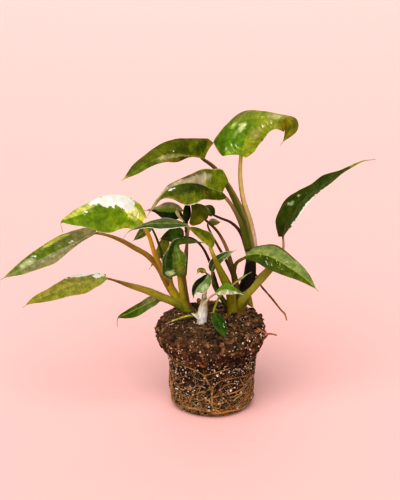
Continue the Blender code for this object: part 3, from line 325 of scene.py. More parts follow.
# How the blades look: tones from base to tip of the left and the right half, then patches in hundredths,
# as places along and across (left is negative), reaches, a tone or "pale", strength, softness
PAINT = {
    # On leaf_top_left the olive to cream tones of the left half's first half, seen almost edge on, and its
    # pale mauve patch are painted sheen.
    "leaf_top_left": dict(
        left=(OLIVE, (200, 180, 50), (260, 250, 80), MOSS, (110, 150, 4), SAGE), right=((170, 160, 10),
        (65, 80, 2), (65, 80, 2), (115, 130, 4), (75, 90, 2), (80, 100, 3), (100, 150, 4)), edge=BROWN,
        rib=OLIVE, patches=((40, 36, 3, 10, "pale", 45), (36, 20, 2, 8, "pale", 40),
        (8, 55, 4.5, 50, (35, 52, 1), 90), (16, 65, 4, 40, (100, 120, 3), 80),
        (24, 40, 4, 50, (40, 50, 2), 70), (29, -75, 12, 35, (45, 40, 2), 95),
        (38, -75, 7, 30, (150, 130, 10), 90), (47, -25, 10, 30, (340, 310, 130), 90),
        (33, -10, 12, 12, (200, 170, 70), 80), (35, 95, 30, 16, MOSS, 70), (98, 0, 6, 100, ACID, 50))),
    # On leaf_top_right the bronze tones from two thirds along and the bronze patch are painted shade on the
    # curled tip, and the grey-olive patch near the top of the left half is a painted highlight.
    "leaf_top_right": dict(
        left=((150, 240, 8), (100, 200, 4), (90, 170, 4), (140, 200, 10), (230, 250, 20), (340, 320, 90),
        (180, 160, 10), (120, 110, 3), BRONZE, BRONZE), right=((190, 240, 10), (230, 260, 15),
        (200, 230, 15), (180, 220, 12), (220, 250, 20), (250, 270, 30), (120, 120, 3), (100, 100, 3),
        (90, 85, 2), BRONZE), edge=(240, 190, 60), rib=(240, 280, 20), rib_strength=0.3,
        patches=((23, -69, 2.5, 10, (360, 430, 100), 90), (24, -36, 4.5, 12, (500, 540, 220), 95),
        (27, -31, 1.2, 5, "pale", 55), (17, -40, 3, 6, (300, 380, 90), 80), (3, -45, 3, 30, "pale", 34),
        (7, -30, 3, 20, "pale", 33), (10, -85, 10, 25, (50, 90, 2), 80),
        (31, -80, 7, 25, (170, 165, 35), 70), (55, -20, 7, 35, (430, 370, 150), 85),
        (27, 45, 8, 30, (370, 340, 100), 60), (50, 72, 2.5, 10, "pale", 45), (47, 30, 10, 20, "pale", 33),
        (40, -30, 6, 15, "pale", 36), (70, 40, 6, 50, (170, 120, 3), 60))),
    "leaf_two_tone": dict(
        left=((60, 65, 1), (60, 65, 2), (34, 42, 1), (36, 50, 1), (60, 80, 2), (80, 95, 4), MAUVE, MAUVE),
        right=((110, 140, 3), (110, 140, 3), (380, 310, 200), (380, 310, 200), (370, 300, 190),
        (330, 270, 160), (270, 220, 120), MAUVE, MAUVE), edge=(550, 470, 300), edge_strength=0.7,
        rib=(300, 260, 120), rib_strength=0.6, patches=((34, 100, 30, 34, (120, 90, 35), 100, 40),
        (0, 50, 19, 90, (120, 150, 4), 100, 10), (14, 95, 13, 40, (110, 140, 3), 100, 15),
        (60, -14, 2, 8, "pale", 95), (56, -12, 1.2, 6, "pale", 80), (48, -80, 24, 30, (130, 140, 5), 90),
        (21, -60, 5, 25, (130, 100, 10), 60), (68, -90, 10, 20, (260, 220, 90), 80),
        (72, 70, 10, 50, (600, 500, 330), 60))),
    "leaf_white_patch": dict(
        left=(LIME, (160, 230, 6), (140, 200, 3), (110, 170, 3), (120, 190, 3), (150, 220, 4), LIME),
        right=(ACID, LIME, (120, 180, 4), (120, 180, 4), (300, 360, 30), LIME, LIME), edge=LIME, rib=LEAF,
        pale=0.08, patches=((36, 72, 12, 45, "pale", 130), (24, 62, 10, 45, "pale", 120),
        (48, 80, 8, 30, "pale", 70), (12, 10, 9, 40, (620, 580, 110), 95), (13, 20, 8, 40, "pale", 42),
        (60, 65, 14, 35, (480, 470, 130), 85), (78, 40, 10, 40, (420, 420, 100), 60),
        (11, 85, 9, 25, LIME, 90), (18, -100, 16, 25, LIME, 80), (62, 5, 4, 20, "pale", 45))),
    "leaf_far_left": dict(
        left=(MAUVE, (240, 200, 100), (230, 190, 90), (220, 190, 80), (200, 200, 60), OLIVE), right=(MAUVE,
        (170, 160, 50), (130, 170, 15), (110, 150, 10), (150, 180, 30), OLIVE), edge=TAN,
        rib=(360, 330, 140), rib_strength=0.7, pale=0.08, patches=((25, 17, 3, 14, "pale", 34),
        (70, 30, 10, 35, (340, 340, 180), 90, 30), (62, 45, 4, 20, "pale", 40),
        (52, 40, 12, 30, (100, 120, 10), 60, 30), (36, 35, 10, 30, GREEN, 70),
        (36, 78, 14, 16, (420, 380, 60), 80), (30, 45, 10, 30, (130, 120, 30), 70),
        (40, -30, 30, 12, (360, 310, 170), 50))),
    "leaf_low_left": dict(
        left=((250, 240, 50), (240, 220, 30), (230, 210, 25), (200, 190, 20)), right=((240, 220, 50),
        (260, 230, 50), (260, 220, 40), (220, 190, 20)), edge=TAN, rib=(360, 320, 50),
        patches=((20, 95, 22, 30, "pale", 110), (8, 40, 7, 35, "pale", 70),
        (60, 50, 25, 30, (210, 190, 15), 60))),
    "leaf_small_left": dict(
        left=(GREY_GREEN, GREEN, GREEN), right=((300, 280, 150), (130, 160, 30), DARK, GREEN), edge=TAN),
    "leaf_pale_margin": dict(
        left=((90, 110, 10), (55, 80, 4), (65, 85, 5), GREY_GREEN), right=((140, 150, 30), (90, 110, 12),
        (110, 130, 20), TAN), edge=CREAM, edge_wide=0.12, rib=(260, 300, 140), rib_strength=0.8,
        patches=((100, 0, 15, 150, "pale", 90),)),
    "leaf_olive": dict(
        left=((240, 240, 20), (270, 270, 15), SAGE, OLIVE), right=((200, 220, 15), SAGE, MOSS, OLIVE),
        edge=CREAM, edge_wide=0.08, rib=(320, 260, 30)),
    "leaf_far_right": dict(
        left=((28, 38, 2), (34, 50, 2), (32, 50, 2), (34, 50, 2), (45, 60, 3), OLIVE), right=(DEEP,
        (45, 60, 3), (60, 75, 10), (45, 65, 3), DARK, OLIVE), edge=BROWN, rib=DARK, rib_strength=0.4,
        patches=((27, -42, 2.5, 12, (240, 300, 160), 90), (25, -60, 1.5, 6, (300, 360, 200), 80),
        (35, -52, 1.5, 6, (300, 360, 220), 80), (31, 95, 16, 12, "pale", 90), (45, -20, 14, 50, "pale", 10),
        (92, 0, 12, 150, LIME, 80))),
    "leaf_right": dict(
        left=(GREY_GREEN, (190, 220, 60), (200, 240, 70), (220, 260, 80), GREY_GREEN), right=((75, 100, 5),
        DARK, (75, 100, 5), (75, 100, 5), (80, 110, 5)), edge=BROWN, rib=LIME, rib_strength=0.85, pale=0.1,
        patches=((30, -95, 30, 12, DARK, 80), (35, 35, 20, 40, "pale", 30))),
    # On leaf_centre the pale patch at the rounded lower end and the light green patch on the right half are
    # painted highlights, a glint and a glossy streak.
    "leaf_centre": dict(
        left=((70, 120, 20), (22, 50, 2), (22, 45, 2), GREEN, GREY_GREEN, GREY_GREEN), right=((90, 150, 10),
        (110, 180, 15), (130, 200, 30), GREEN, GREY_GREEN, GREY_GREEN), edge=(360, 380, 200), edge_wide=0.06,
        edge_pale=0.4, rib=(100, 150, 30), rib_strength=0.8, patches=((6, -45, 3.5, 35, (400, 480, 260), 95),
        (20, -12, 14, 10, (120, 200, 30), 90), (33, 40, 9, 8, (200, 320, 100), 85),
        (28, -75, 14, 8, (70, 120, 30), 80), (17, -45, 5, 20, "pale", 30),
        (8, 50, 6, 30, (200, 200, 40), 70), (45, -95, 10, 20, (420, 420, 220), 80))),
    "leaf_dark_behind": dict(
        left=((60, 120, 20), (70, 130, 30), DARK, DEEP), right=((60, 100, 20), GREEN, DEEP, DEEP),
        edge=(300, 320, 160), rib=DARK),
    # leaf_dark_centre is painted shade: a near-black leaf set where the centre lies in shadow.
    "leaf_dark_centre": dict(left=((4, 8, 1), (4, 8, 1)), right=((6, 10, 1), DEEP), rib=SHADE_BLACK, edge=DEEP),
    # The left half of leaf_mid_back is painted shadow: near black for its underside in shade.
    "leaf_mid_back": dict(
        left=(SHADE_BLACK, SHADE_BLACK, SHADE_BLACK, DEEP), right=((200, 170, 80), (200, 170, 80), (240, 200, 100), MAUVE),
        edge=BROWN, edge_strength=0.3, rib=SAGE, rib_strength=0.7,
        patches=((40, -5, 32, 28, (130, 170, 8), 95, 30),)),
    "leaf_mid_right": dict(
        left=((100, 120, 3), (100, 120, 3), (75, 100, 3), (60, 85, 3)), right=((70, 85, 3), (75, 100, 3),
        (80, 110, 4), MOSS), edge=BRONZE, rib=MOSS, rib_strength=0.3,
        patches=((15, -40, 15, 40, (200, 200, 10), 70),)),
    "leaf_small_dark": dict(
        left=(MOSS, (240, 250, 120), (200, 220, 100)), right=(DARK, DARK, (120, 140, 40)), rib=DARK),
    "leaf_small_olive": dict(left=((340, 280, 140), CREAM), right=(OLIVE, OLIVE), edge=CREAM, rib=MOSS),
    "leaf_striped": dict(
        left=((30, 50, 4), (50, 80, 10), (200, 240, 100)), right=((40, 70, 6), (90, 120, 20),
        (260, 280, 140)), edge=CREAM, edge_wide=0.14, rib=(340, 360, 200), rib_strength=0.7, pale=0.1),
    # The right half of leaf_curled is painted shade: near black for its upper face in shadow.
    "leaf_curled": dict(
        left=((100, 150, 30), (160, 220, 80), (300, 360, 200)), right=(SHADE_BLACK, SHADE_BLACK, SHADE_BLACK, DEEP), edge=CREAM,
        edge_wide=0.08, rib=(300, 360, 160), patches=((85, -60, 20, 60, "pale", 60),
        (45, -60, 20, 30, (340, 400, 220), 70))),
    "leaf_low_centre": dict(
        left=(LEAF, LEAF, GREEN), right=((400, 360, 200), (300, 270, 140), (460, 420, 280)), edge=CREAM,
        rib=GREEN, pale=0.12, patches=((40, 60, 50, 40, "pale", 40),)),
    "leaf_on_soil": dict(
        left=(DARK, (20, 55, 3), (16, 45, 2), DARK), right=(DARK, (22, 55, 3), DARK), edge=(200, 300, 100),
        edge_strength=0.5, rib=GREEN, pale=0.05, patches=((36, 0, 5, 12, "pale", 50),
        (55, -50, 10, 20, "pale", 42), (97, 0, 6, 100, "pale", 80))),
    "leaf_hanging_back": dict(left=(OLIVE, OLIVE), right=(SAGE, (240, 250, 40), OLIVE), edge=TAN, rib=OLIVE),
    "leaf_tip_back": dict(left=(GREY_GREEN, GREEN), right=(GREEN, GREY_GREEN)),
    "leaf_cream_tip": dict(left=(MAUVE, (420, 340, 200)), right=(MAUVE, CREAM), pale=0.3, edge=TAN),
    "leaf_back_right": dict(left=((300, 310, 30),), right=((300, 310, 30), OLIVE), edge=TAN),
    "leaf_brown_curl": dict(left=(OLIVE, BROWN), right=(MOSS, BROWN), edge=BROWN),
    "leaf_needle": dict(left=(DARK, SAGE), right=(SAGE, (300, 340, 200)), pale=0.1, edge=GREY_GREEN),
    "sheath_flap": dict(left=(WHITE, CREAM), right=(WHITE, CREAM), pale=0.8, edge=CREAM, rib=CREAM),
    "leaf_grass": dict(
        left=(LIME, OLIVE), right=(LIME, OLIVE), edge=LIME, patches=((100, 0, 30, 200, "pale", 80),)),
}


# Curves

def unit(v):
    return v / np.linalg.norm(v)


def smooth(x):
    x = np.clip(x, 0, 1)
    return x * x * (3 - 2 * x)


def curve_values(values, t):
    """The value at t of a smooth curve through values set evenly over 0 to 1."""
    v = [2 * values[0] - values[1], *values, 2 * values[-1] - values[-2]]
    x = min(max(t, 0.0), 0.99999) * (len(values) - 1)
    i = int(x)
    f = x - i
    a, b, c, d = v[i:i + 4]
    return 0.5 * (2 * b + (c - a) * f + (2 * a - 5 * b + 4 * c - d) * f * f
                  + (3 * b - a - 3 * c + d) * f ** 3)


def step_lengths(points):
    return np.linalg.norm(np.diff(points[:, :3], axis=0), axis=1)


def curve_points(control, shares):
    """Points of the smooth curve through control, at shares of its length."""
    values = [np.array(p, float) for p in control]
    fine = np.array([curve_values(values, t) for t in np.linspace(0, 1, 24 * len(values))])
    run = np.concatenate([[0], np.cumsum(step_lengths(fine))])
    at = np.array(shares) * run[-1]
    return np.stack([np.interp(at, run, fine[:, k]) for k in range(fine.shape[1])], -1)


def curve_length(control):
    return step_lengths(curve_points(control, np.linspace(0, 1, 60))).sum()


def carried_normals(points, face, start):
    """Normals carried along the points without spin, set to face at the start index."""
    along = np.gradient(points, axis=0)
    along /= np.linalg.norm(along, axis=1)[:, None]
    normal = np.zeros_like(points)
    normal[start] = unit(face - (face @ along[start]) * along[start])
    for order in (range(start + 1, len(points)), range(start - 1, -1, -1)):
        last = start
        for i in order:
            normal[i] = unit(normal[last] - (normal[last] @ along[i]) * along[i])
            last = i
    return along, normal


def tones_along(tones, shares):
    """The tones at shares of the way through a list of tones."""
    tones = np.array(tones, float).reshape(-1, 3)
    steps = np.arange(len(tones))
    return np.stack([np.interp(shares * steps[-1], steps, tones[:, k]) for k in range(3)], -1)


def blended(first, second, share):
    return first * (1 - share) + second * share


# Materials

class Nodes:
    """A new material whose nodes are added by short calls. Inputs are numbers, colours or sockets."""

    def __init__(self, name, roughness, specular):
        self.material = bpy.data.materials.new(name)
        self.material.use_nodes = True
        self.tree = self.material.node_tree
        self.shader = self.tree.nodes["Principled BSDF"].inputs
        self.shader["Roughness"].default_value = roughness
        self.shader["Specular IOR Level"].default_value = specular

    def feed(self, socket, value):
        if isinstance(value, bpy.types.NodeSocket):
            self.tree.links.new(value, socket)
        else:
            socket.default_value = (*value, 1.0) if socket.type == "RGBA" else value

    def add(self, kind, inputs, **settings):
        node = self.tree.nodes.new("ShaderNode" + kind)
        for key, value in settings.items():
            setattr(node, key, value)
        for key, value in inputs.items():
            self.feed(node.inputs[key], value)
        return node

    def uv(self, name):
        return self.add("UVMap", {}, uv_map=name).outputs[0]

    def attribute(self, name, output="Color"):
        return self.add("Attribute", {}, attribute_name=name).outputs[output]

    def math(self, operation, a, b=0.0):
        return self.add("Math", {0: a, 1: b}, operation=operation).outputs[0]

    def times(self, a, b):
        return self.math("MULTIPLY", a, b)

    def plus(self, a, b):
        return self.math("ADD", a, b)

    def minus(self, a, b):
        return self.math("SUBTRACT", a, b)

    def mix(self, share, a, b, blend="MIX"):
        return self.add("Mix", {0: share, 6: a, 7: b}, data_type="RGBA", blend_type=blend).outputs[2]

    def tinted(self, colour, tint):
        return self.mix(1.0, colour, tint, "MULTIPLY")

    def step(self, value, low, high, start=0.0, end=1.0):
        """A soft step from start to end while value goes from low to high."""
        inputs = {0: value, 1: low, 2: high, 3: start, 4: end}
        return self.add("MapRange", inputs, interpolation_type="SMOOTHSTEP").outputs[0]

    def grain(self, vector, scale, detail, rough=0.55):
        inputs = {"Vector": vector, "Scale": scale, "Detail": detail, "Roughness": rough}
        return self.add("TexNoise", inputs).outputs["Fac"]

    def stretched(self, place, x, y):
        return self.add("Mapping", {0: place, 3: (x, y, 1.0)}).outputs[0]

    def bump(self, height, distance, strength=1.0):
        node = self.add("Bump", {"Height": height, "Distance": distance, "Strength": strength})
        self.feed(self.shader["Normal"], node.outputs[0])


def blade_material(name, upper):
    """A glossy blade: veins, flecks and clouds over the tone of each point, and cream where it is pale."""
    n = Nodes(name, 0.36 if upper else 0.5, 0.06 if upper else 0.05)
    place = n.uv("blade")
    parts = n.add("SeparateXYZ", {0: place}).outputs
    across = n.math("ABSOLUTE", parts[0])
    arch = n.times(n.times(across, across), 1.5)
    vein = n.minus(n.minus(parts[1], n.times(across, VEIN_SLANT)), arch)
    side = n.math("GREATER_THAN", parts[0], 0.0)

    def veined(along_scale, across_scale, detail):
        """Noise that is drawn out along the side veins."""
        inputs = {0: n.times(vein, along_scale), 1: n.times(across, across_scale), 2: n.times(side, 7.3)}
        return n.grain(n.add("CombineXYZ", inputs).outputs[0], 1.0, detail, 0.6)

    def waved(spacing):
        return n.math("ABSOLUTE", n.math("SINE", n.times(vein, math.pi * MAP_UNIT / spacing)))

    streaks = veined(42.0, 11.0, 4.0)
    flecks = veined(110.0, 34.0, 3.0)
    wave = waved(VEIN_SPACING)
    lines = n.step(wave, 0.0, 0.16, 1.0, 0.0)
    fine_lines = n.step(waved(VEIN_SPACING / 4), 0.0, 0.5, 1.0, 0.0)
    cloud = n.grain(place, 14.0, 3.0)

    shade = n.mix(n.step(cloud, 0.3, 0.7), (0.6, 0.68, 0.6), (1.22, 1.2, 1.2))
    colour = n.tinted(n.attribute("tone"), shade)
    light = n.tinted(colour, (1.9, 1.8, 1.6))
    for mask, share in ((n.step(flecks, 0.56, 0.66), 0.5), (n.step(streaks, 0.5, 0.62), 0.3),
                        (lines, 0.35), (fine_lines, 0.08)):
        colour = n.mix(n.times(mask, share), colour, light)

    field = n.plus(n.attribute("pale", "Fac"), n.times(n.minus(streaks, 0.5), 1.5))
    field = n.plus(field, n.times(n.minus(flecks, 0.5), 0.9))
    halo = n.times(n.step(field, 0.32, 0.5), 0.55)
    colour = n.mix(halo, colour, n.tinted(colour, (2.2, 1.9, 2.4)))
    cream = n.mix(n.step(cloud, 0.35, 0.65), (0.70, 0.66, 0.55), (0.80, 0.78, 0.71))
    colour = n.mix(n.step(field, 0.46, 0.54), colour, cream)
    if not upper:
        colour = n.mix(0.3, colour, (0.17, 0.17, 0.04))
    n.feed(n.shader["Base Color"], colour)
    rough = 0.33 if upper else 0.48
    n.feed(n.shader["Roughness"], n.step(flecks, 0.3, 0.7, rough, rough + 0.14))
    quilt = n.times(n.math("POWER", wave, 0.6), 0.5 if upper else -0.5)
    height = n.plus(quilt, n.times(fine_lines, -0.12))
    n.bump(n.plus(height, n.times(flecks, 0.35)), 0.0004, 0.55)
    return n.material


def fibre_material(name, roughness, contrast, bump, specular):
    """Streaks that run along a tube, over the tone given at its points."""
    n = Nodes(name, roughness, specular)
    place = n.uv("tube")
    streaks = n.grain(n.stretched(place, 9.0, 5.0), 2.2, 4.0, 0.65)
    ridges = n.grain(n.stretched(place, 60.0, 3.0), 1.0, 2.0)
    spots = n.grain(n.stretched(place, 26.0, 40.0), 1.0, 3.0)
    shade = n.mix(n.step(streaks, 0.3, 0.7), (1 - contrast, 1 - contrast * 1.05, 1 - contrast),
                  (1 + contrast, 1 + contrast * 0.9, 1 + contrast))
    colour = n.tinted(n.attribute("tone"), shade)
    colour = n.mix(n.step(spots, 0.6, 0.72, 0.0, contrast), colour, (0.10, 0.05, 0.02))
    n.feed(n.shader["Base Color"], colour)
    n.feed(n.shader["Roughness"], n.step(spots, 0.3, 0.7, roughness, roughness + 0.15))
    n.bump(n.plus(ridges, n.times(spots, 0.5)), bump)
    return n.material


def earth_material(name, fineness, bump, roughness):
    """Crumbly matter in which grains of several sizes differ in tone, with painted shade darkening the gaps
    between grains.
    """
    n = Nodes(name, roughness, 0.15)
    place = n.add("TexCoord", {}).outputs["Object"]
    coarse = n.grain(place, 260.0 * fineness, 5.0, 0.7)
    fine = n.grain(place, 1100.0 * fineness, 4.0, 0.75)
    cells = n.add("TexVoronoi", {"Vector": place, "Scale": 650.0 * fineness, "Randomness": 1.0})
    shade = n.mix(n.step(coarse, 0.35, 0.65), (0.45, 0.42, 0.4), (1.7, 1.6, 1.5))
    colour = n.tinted(n.attribute("tone"), shade)
    colour = n.mix(n.step(fine, 0.55, 0.72, 0.0, 0.7), colour, n.tinted(colour, (2.6, 2.3, 2.0)))
    # Painted shade: the edges of the cells darken, as if shadow lay in the gaps between grains.
    gap_shade = n.step(cells.outputs["Distance"], 0.35, 0.8, 0.0, 0.6)
    colour = n.mix(gap_shade, colour, n.tinted(colour, (0.25, 0.25, 0.25)))
    n.feed(n.shader["Base Color"], colour)
    n.bump(n.plus(coarse, n.times(fine, 0.4)), bump)
    return n.material


# Meshes

class Stock:
    """Points and faces gathered from many small forms, with a tone and a place on the map for each."""

    def __init__(self):
        self.points = []
        self.tones = []
        self.places = []
        self.pales = []
        self.faces = []
        self.slots = []
        self.count = 0

    def add(self, points, faces, tones, places=None, pales=None, slots=None):
        points = np.asarray(points, float).reshape(-1, 3)
        size = len(points)
        self.points.append(points)
        self.tones.append(np.broadcast_to(np.asarray(tones, float), (size, 3)))
        self.places.append(np.zeros((size, 2)) if places is None else places)
        self.pales.append(np.zeros(size) if pales is None else pales)
        self.faces += [tuple(int(k) + self.count for k in face) for face in faces]
        self.slots += slots or [0] * len(faces)
        self.count += size

    def join(self, other):
        self.add(np.concatenate(other.points), other.faces, np.concatenate(other.tones))

    def piece(self, name, materials, uv_name, slot, *replaced):
        """One visible mesh of all that was gathered, which rides on the root."""
        mesh = bpy.data.meshes.new(name)
        mesh.from_pydata((np.concatenate(self.points) * MM).tolist(), [], self.faces)
        for material in materials:
            mesh.materials.append(material)
        mesh.polygons.foreach_set("material_index", self.slots)
        tones = np.ones((self.count, 4))
        tones[:, :3] = np.concatenate(self.tones) / 1000
        mesh.attributes.new("tone", "FLOAT_COLOR", "POINT").data.foreach_set("color", tones.ravel())
        mesh.attributes.new("pale", "FLOAT", "POINT").data.foreach_set("value", np.concatenate(self.pales))
        corner = np.zeros(len(mesh.loops), dtype=np.int32)
        mesh.loops.foreach_get("vertex_index", corner)
        layer = mesh.uv_layers.new(name=uv_name)
        layer.data.foreach_set("uv", np.concatenate(self.places)[corner].ravel())
        mesh.polygons.foreach_set("use_smooth", [True] * len(mesh.polygons))
        mesh.validate()
        mesh.update()
        obj = bpy.data.objects.new(name, mesh)
        bpy.context.scene.collection.objects.link(obj)
        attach(obj, "root")
        if replaced:
            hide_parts(*replaced)


def grid_faces(rows, columns, closed=False, shift=0, flip=False):
    faces = []
    for i in range(rows - 1):
        for k in range(columns if closed else columns - 1):
            a, b = i * columns + k, i * columns + (k + 1) % columns
            face = (shift + a, shift + b, shift + b + columns, shift + a + columns)
            faces.append(face[::-1] if flip else face)
    return faces


def capped_faces(rows, columns):
    """The faces of a closed wall of rows and of its ends, whose middles are the two points after it."""
    faces = grid_faces(rows, columns, True)
    top = (rows - 1) * columns
    for k in range(columns):
        n = (k + 1) % columns
        faces.append((n, k, rows * columns))
        faces.append((top + k, top + n, rows * columns + 1))
    return faces


def add_tube(stock, line, tones, sides, spacing, wobble, seed, band=None):
    """A round tube along points given as x, y, z, radius, with rounded ends."""
    length = curve_length([p[:3] for p in line])
    count = max(4, int(length / spacing) + 2)
    shares = np.linspace(0, 1, count)
    made = curve_points(line, shares)
    centre, radius = made[:, :3], made[:, 3].copy()
    if wobble:
        for i in range(count):
            radius[i] *= 1 + wobble * noise.noise(Vector((seed, 0.35 * length * shares[i], 1.7)))
    along, normal = carried_normals(centre, np.array((0.31, -0.87, 0.38)), 0)
    side = np.cross(along, normal)
    angle = np.arange(sides) * 2 * math.pi / sides
    ring = normal[:, None] * np.cos(angle)[None, :, None] + side[:, None] * np.sin(angle)[None, :, None]
    points = centre[:, None] + ring * radius[:, None, None]
    cap = [centre[0] - along[0] * radius[0] * 0.4, centre[-1] + along[-1] * radius[-1] * 0.5]
    shade = np.repeat(tones_along(tones, shares)[:, None], sides, 1)
    if band is not None:
        facing = ring @ unit(np.array(band[0], float))
        shade = blended(shade, np.array(band[1]), smooth((facing - 0.25) / 0.6)[:, :, None])
    places = np.zeros((count, sides, 2))
    places[:, :, 0] = np.abs(np.arange(sides) - sides / 2) / sides + seed * 0.37
    places[:, :, 1] = (shares * length / MAP_UNIT)[:, None] + seed * 1.13
    stock.add(np.concatenate([points.reshape(-1, 3), cap]), capped_faces(count, sides),
              np.concatenate([shade.reshape(-1, 3), shade[0, :1], shade[-1, :1]]),
              np.concatenate([places.reshape(-1, 2), places[0, :1], places[-1, :1]]))


# Blades

def blade_frame(leaf, stations):
    spine = curve_points(leaf.spine, stations)
    along, normal = carried_normals(spine, leaf.face, len(stations) // 3)
    return spine, along, normal


def blade_surface(leaf, length):
    """The upper face as a grid, with the share along of each row, and share and reach across."""
    count = int(np.clip(length / ROW_STEP, 24, 110))
    stations = [(i / (count - 1)) ** 1.3 for i in range(count)]
    spine, along, normal = blade_frame(leaf, stations)
    half = len(COLUMNS) - 1
    grid = np.zeros((count, 2 * half + 1, 3))
    share = np.zeros((count, 2 * half + 1))
    reach = np.zeros((count, 2 * half + 1))
    seed = sum(map(ord, leaf.name)) * 0.37
    for i, t in enumerate(stations):
        side = np.cross(along[i], normal[i])
        rounding = min(1.0, ((t + leaf.blunt) / 0.1) ** 0.35)
        grid[i, half] = spine[i]
        for sign in (-1, 1):
            body = t / (1 - leaf.drip)
            width = curve_values([*leaf.widths[sign], 0.0], body) if body < 1 else 0.0
            nick = 1 + 0.03 * noise.noise(Vector((seed, 0.11 * length * t, sign)))
            width = max(width * rounding * nick, LEAST_HALF_WIDTH * (2 - t))
            fold = math.radians(curve_values(leaf.folds[sign], t))
            swing = math.sin(2 * math.pi * (2.5 * t + 0.3 * sign))
            swell = math.sin(math.pi * t)
            crease = noise.noise(Vector((0.09 * length * t, seed, 3.0 * sign)))
            across = up = 0.0
            for j in range(1, half + 1):
                s, step = COLUMNS[j], COLUMNS[j] - COLUMNS[j - 1]
                slope = fold - math.radians(leaf.curl) * (s - 0.5 * step)
                across += math.cos(slope) * width * step
                up += math.sin(slope) * width * step
                back = leaf.lobe[sign] * max(0.0, 1 - t / 0.35) ** 2 * s ** 1.5
                lift = up + leaf.wave * s * s * swing * swell + 0.045 * width * s ** 3 * crease
                place = spine[i] + sign * side * across + normal[i] * lift - along[i] * back
                grid[i, half + sign * j] = place
                share[i, half + sign * j] = sign * s
                reach[i, half + sign * j] = sign * s * width
    return np.array(stations)[:, None], grid, share, reach


def frayed(v, r):
    """Noise drawn out along the side veins, for the edges of the patches."""
    fine = noise.noise(Vector((0.9 * v, 0.4 * r, 5.0)))
    return noise.noise(Vector((0.38 * v, 0.13 * r, 0.0))) + 0.5 * fine


def blade_paint(paint, t, share, reach, length):
    """The tone and the paleness of each point, from the halves, the patches, the midrib and the margin."""
    t = np.repeat(t, share.shape[1], 1)
    left, right = [tones_along(paint[key], t) for key in ("left", "right")]
    tone = blended(left, right, smooth(share / 0.06 + 0.5)[:, :, None])
    pale = np.full(t.shape, paint.get("pale", 0.0))
    vein = t * length - VEIN_SLANT * np.abs(reach)
    ragged = np.array([frayed(v, r) for v, r in zip(vein.ravel(), reach.ravel())]).reshape(t.shape)
    for at_t, at_s, wide_t, wide_s, what, strength, *soft in paint.get("patches", ()):
        away = np.sqrt(((t - at_t / 100) / wide_t * 100) ** 2 + ((share - at_s / 100) / wide_s * 100) ** 2)
        soft = soft[0] / 100 if soft else 0.4
        mask = smooth((1 - away + 0.45 * ragged) / soft + 0.5) * strength / 100
        if what == "pale":
            pale = np.maximum(pale, mask)
        else:
            tone = blended(tone, np.array(what), mask[:, :, None])
    rib = np.exp(-(reach / 0.55) ** 2) * paint.get("rib_strength", 0.55)
    tone = blended(tone, np.array(paint.get("rib", ACID)), rib[:, :, None])
    pale *= 1 - rib
    margin = (np.abs(share) > 0.96)[:, :, None] * paint.get("edge_strength", 0.7)
    tone = blended(tone, np.array(paint.get("edge", TAN)), margin)
    if "edge_wide" in paint:
        rim = smooth((np.abs(share) - 1 + paint["edge_wide"]) / 0.06)
        pale = np.maximum(pale, rim * paint.get("edge_pale", 0.9))
    return tone, pale


def add_blade(leaf, index, materials, slot, *replaced):
    length = curve_length(leaf.spine)
    t, upper, share, reach = blade_surface(leaf, length)
    tone, pale = blade_paint(PAINT[leaf.name], t, share, reach, length)
    normal = np.cross(np.gradient(upper, axis=1), np.gradient(upper, axis=0))
    normal /= np.linalg.norm(normal, axis=2)[:, :, None] + 1e-9
    vein = t * length - VEIN_SLANT * np.abs(reach) - 0.015 * reach ** 2
    quilt = QUILT_DEPTH * np.abs(np.sin(math.pi * vein / VEIN_SPACING))
    quilt = quilt * np.clip(np.abs(reach) / 4, 0, 1) * (1 - share ** 4)
    groove = GROOVE_DEPTH * np.exp(-(reach / 0.75) ** 2) * (1 - t) ** 0.5
    rib = RIB_DEPTH * np.exp(-(reach / 0.85) ** 2) * (1 - t) ** 0.7
    thick = BLADE_DEPTH * (1 - 0.6 * share ** 6)
    face = upper + normal * (quilt - groove)[:, :, None]
    back = upper - normal * (thick + rib - 0.6 * quilt)[:, :, None]
    rows, columns = share.shape
    run = np.repeat(t * length / MAP_UNIT, columns, 1) + index * 2.31
    places = np.stack([reach / MAP_UNIT, run], -1).reshape(-1, 2)
    size = rows * columns
    faces = grid_faces(rows, columns)
    slots = [0] * len(faces)
    faces += grid_faces(rows, columns, False, size, True)
    rim = [i * columns for i in range(rows)] + [(rows - 1) * columns + k for k in range(1, columns)]
    rim += [i * columns + columns - 1 for i in range(rows - 2, -1, -1)] + list(range(columns - 2, 0, -1))
    for a, b in zip(rim, rim[1:] + rim[:1]):
        faces.append((b, a, size + a, size + b))
    slots += [1] * (len(faces) - len(slots))
    stock = Stock()
    both = np.concatenate([face.reshape(-1, 3), back.reshape(-1, 3)])
    stock.add(both, faces, np.concatenate([tone.reshape(-1, 3)] * 2), np.concatenate([places] * 2),
              np.concatenate([pale.ravel()] * 2), slots)
    stock.piece("blade_" + leaf.name.replace("leaf_", ""), materials, "blade", slot, *replaced)


# Stems

def joined_end(points, leaf):
    """A petiole's points, led on into the underside of the blade's midrib."""
    spine, along, normal = blade_frame(leaf, [(i / 11) ** 1.3 for i in range(12)])
    radius = points[-1][3]
    low = spine[0] + along[0] * 0.6 - normal[0] * (0.5 + 0.8 * radius)
    deep = spine[0] + along[0] * 5.0 - normal[0] * 0.9
    return [*points, (*low, radius * 0.8), (*deep, 0.4)]


def add_shoot(name, crown, stems, leaves, material, slot, node):
    """A shoot's foot in the soil and its tubes, as one piece."""
    stock = Stock()
    x, y, radius = crown
    plug = [(x, y, 78, radius * 0.96), (x, y, 84, radius), (x, y, BALL_TOP, radius * 0.95),
            (x, y, BALL_TOP + 3, radius * 0.55)]
    add_tube(stock, plug, (UMBER, BROWN), 24, 2.0, 0.1, 3.1)
    for k, (carried, tones, points) in enumerate(stems):
        line = joined_end(points, leaves[carried]) if carried else points
        add_tube(stock, line, tones, 14, 1.6, 0.06, 1.0 + k, STEM_BANDS.get(carried))
    stock.piece(name, [material], "tube", slot, node)


# Root ball

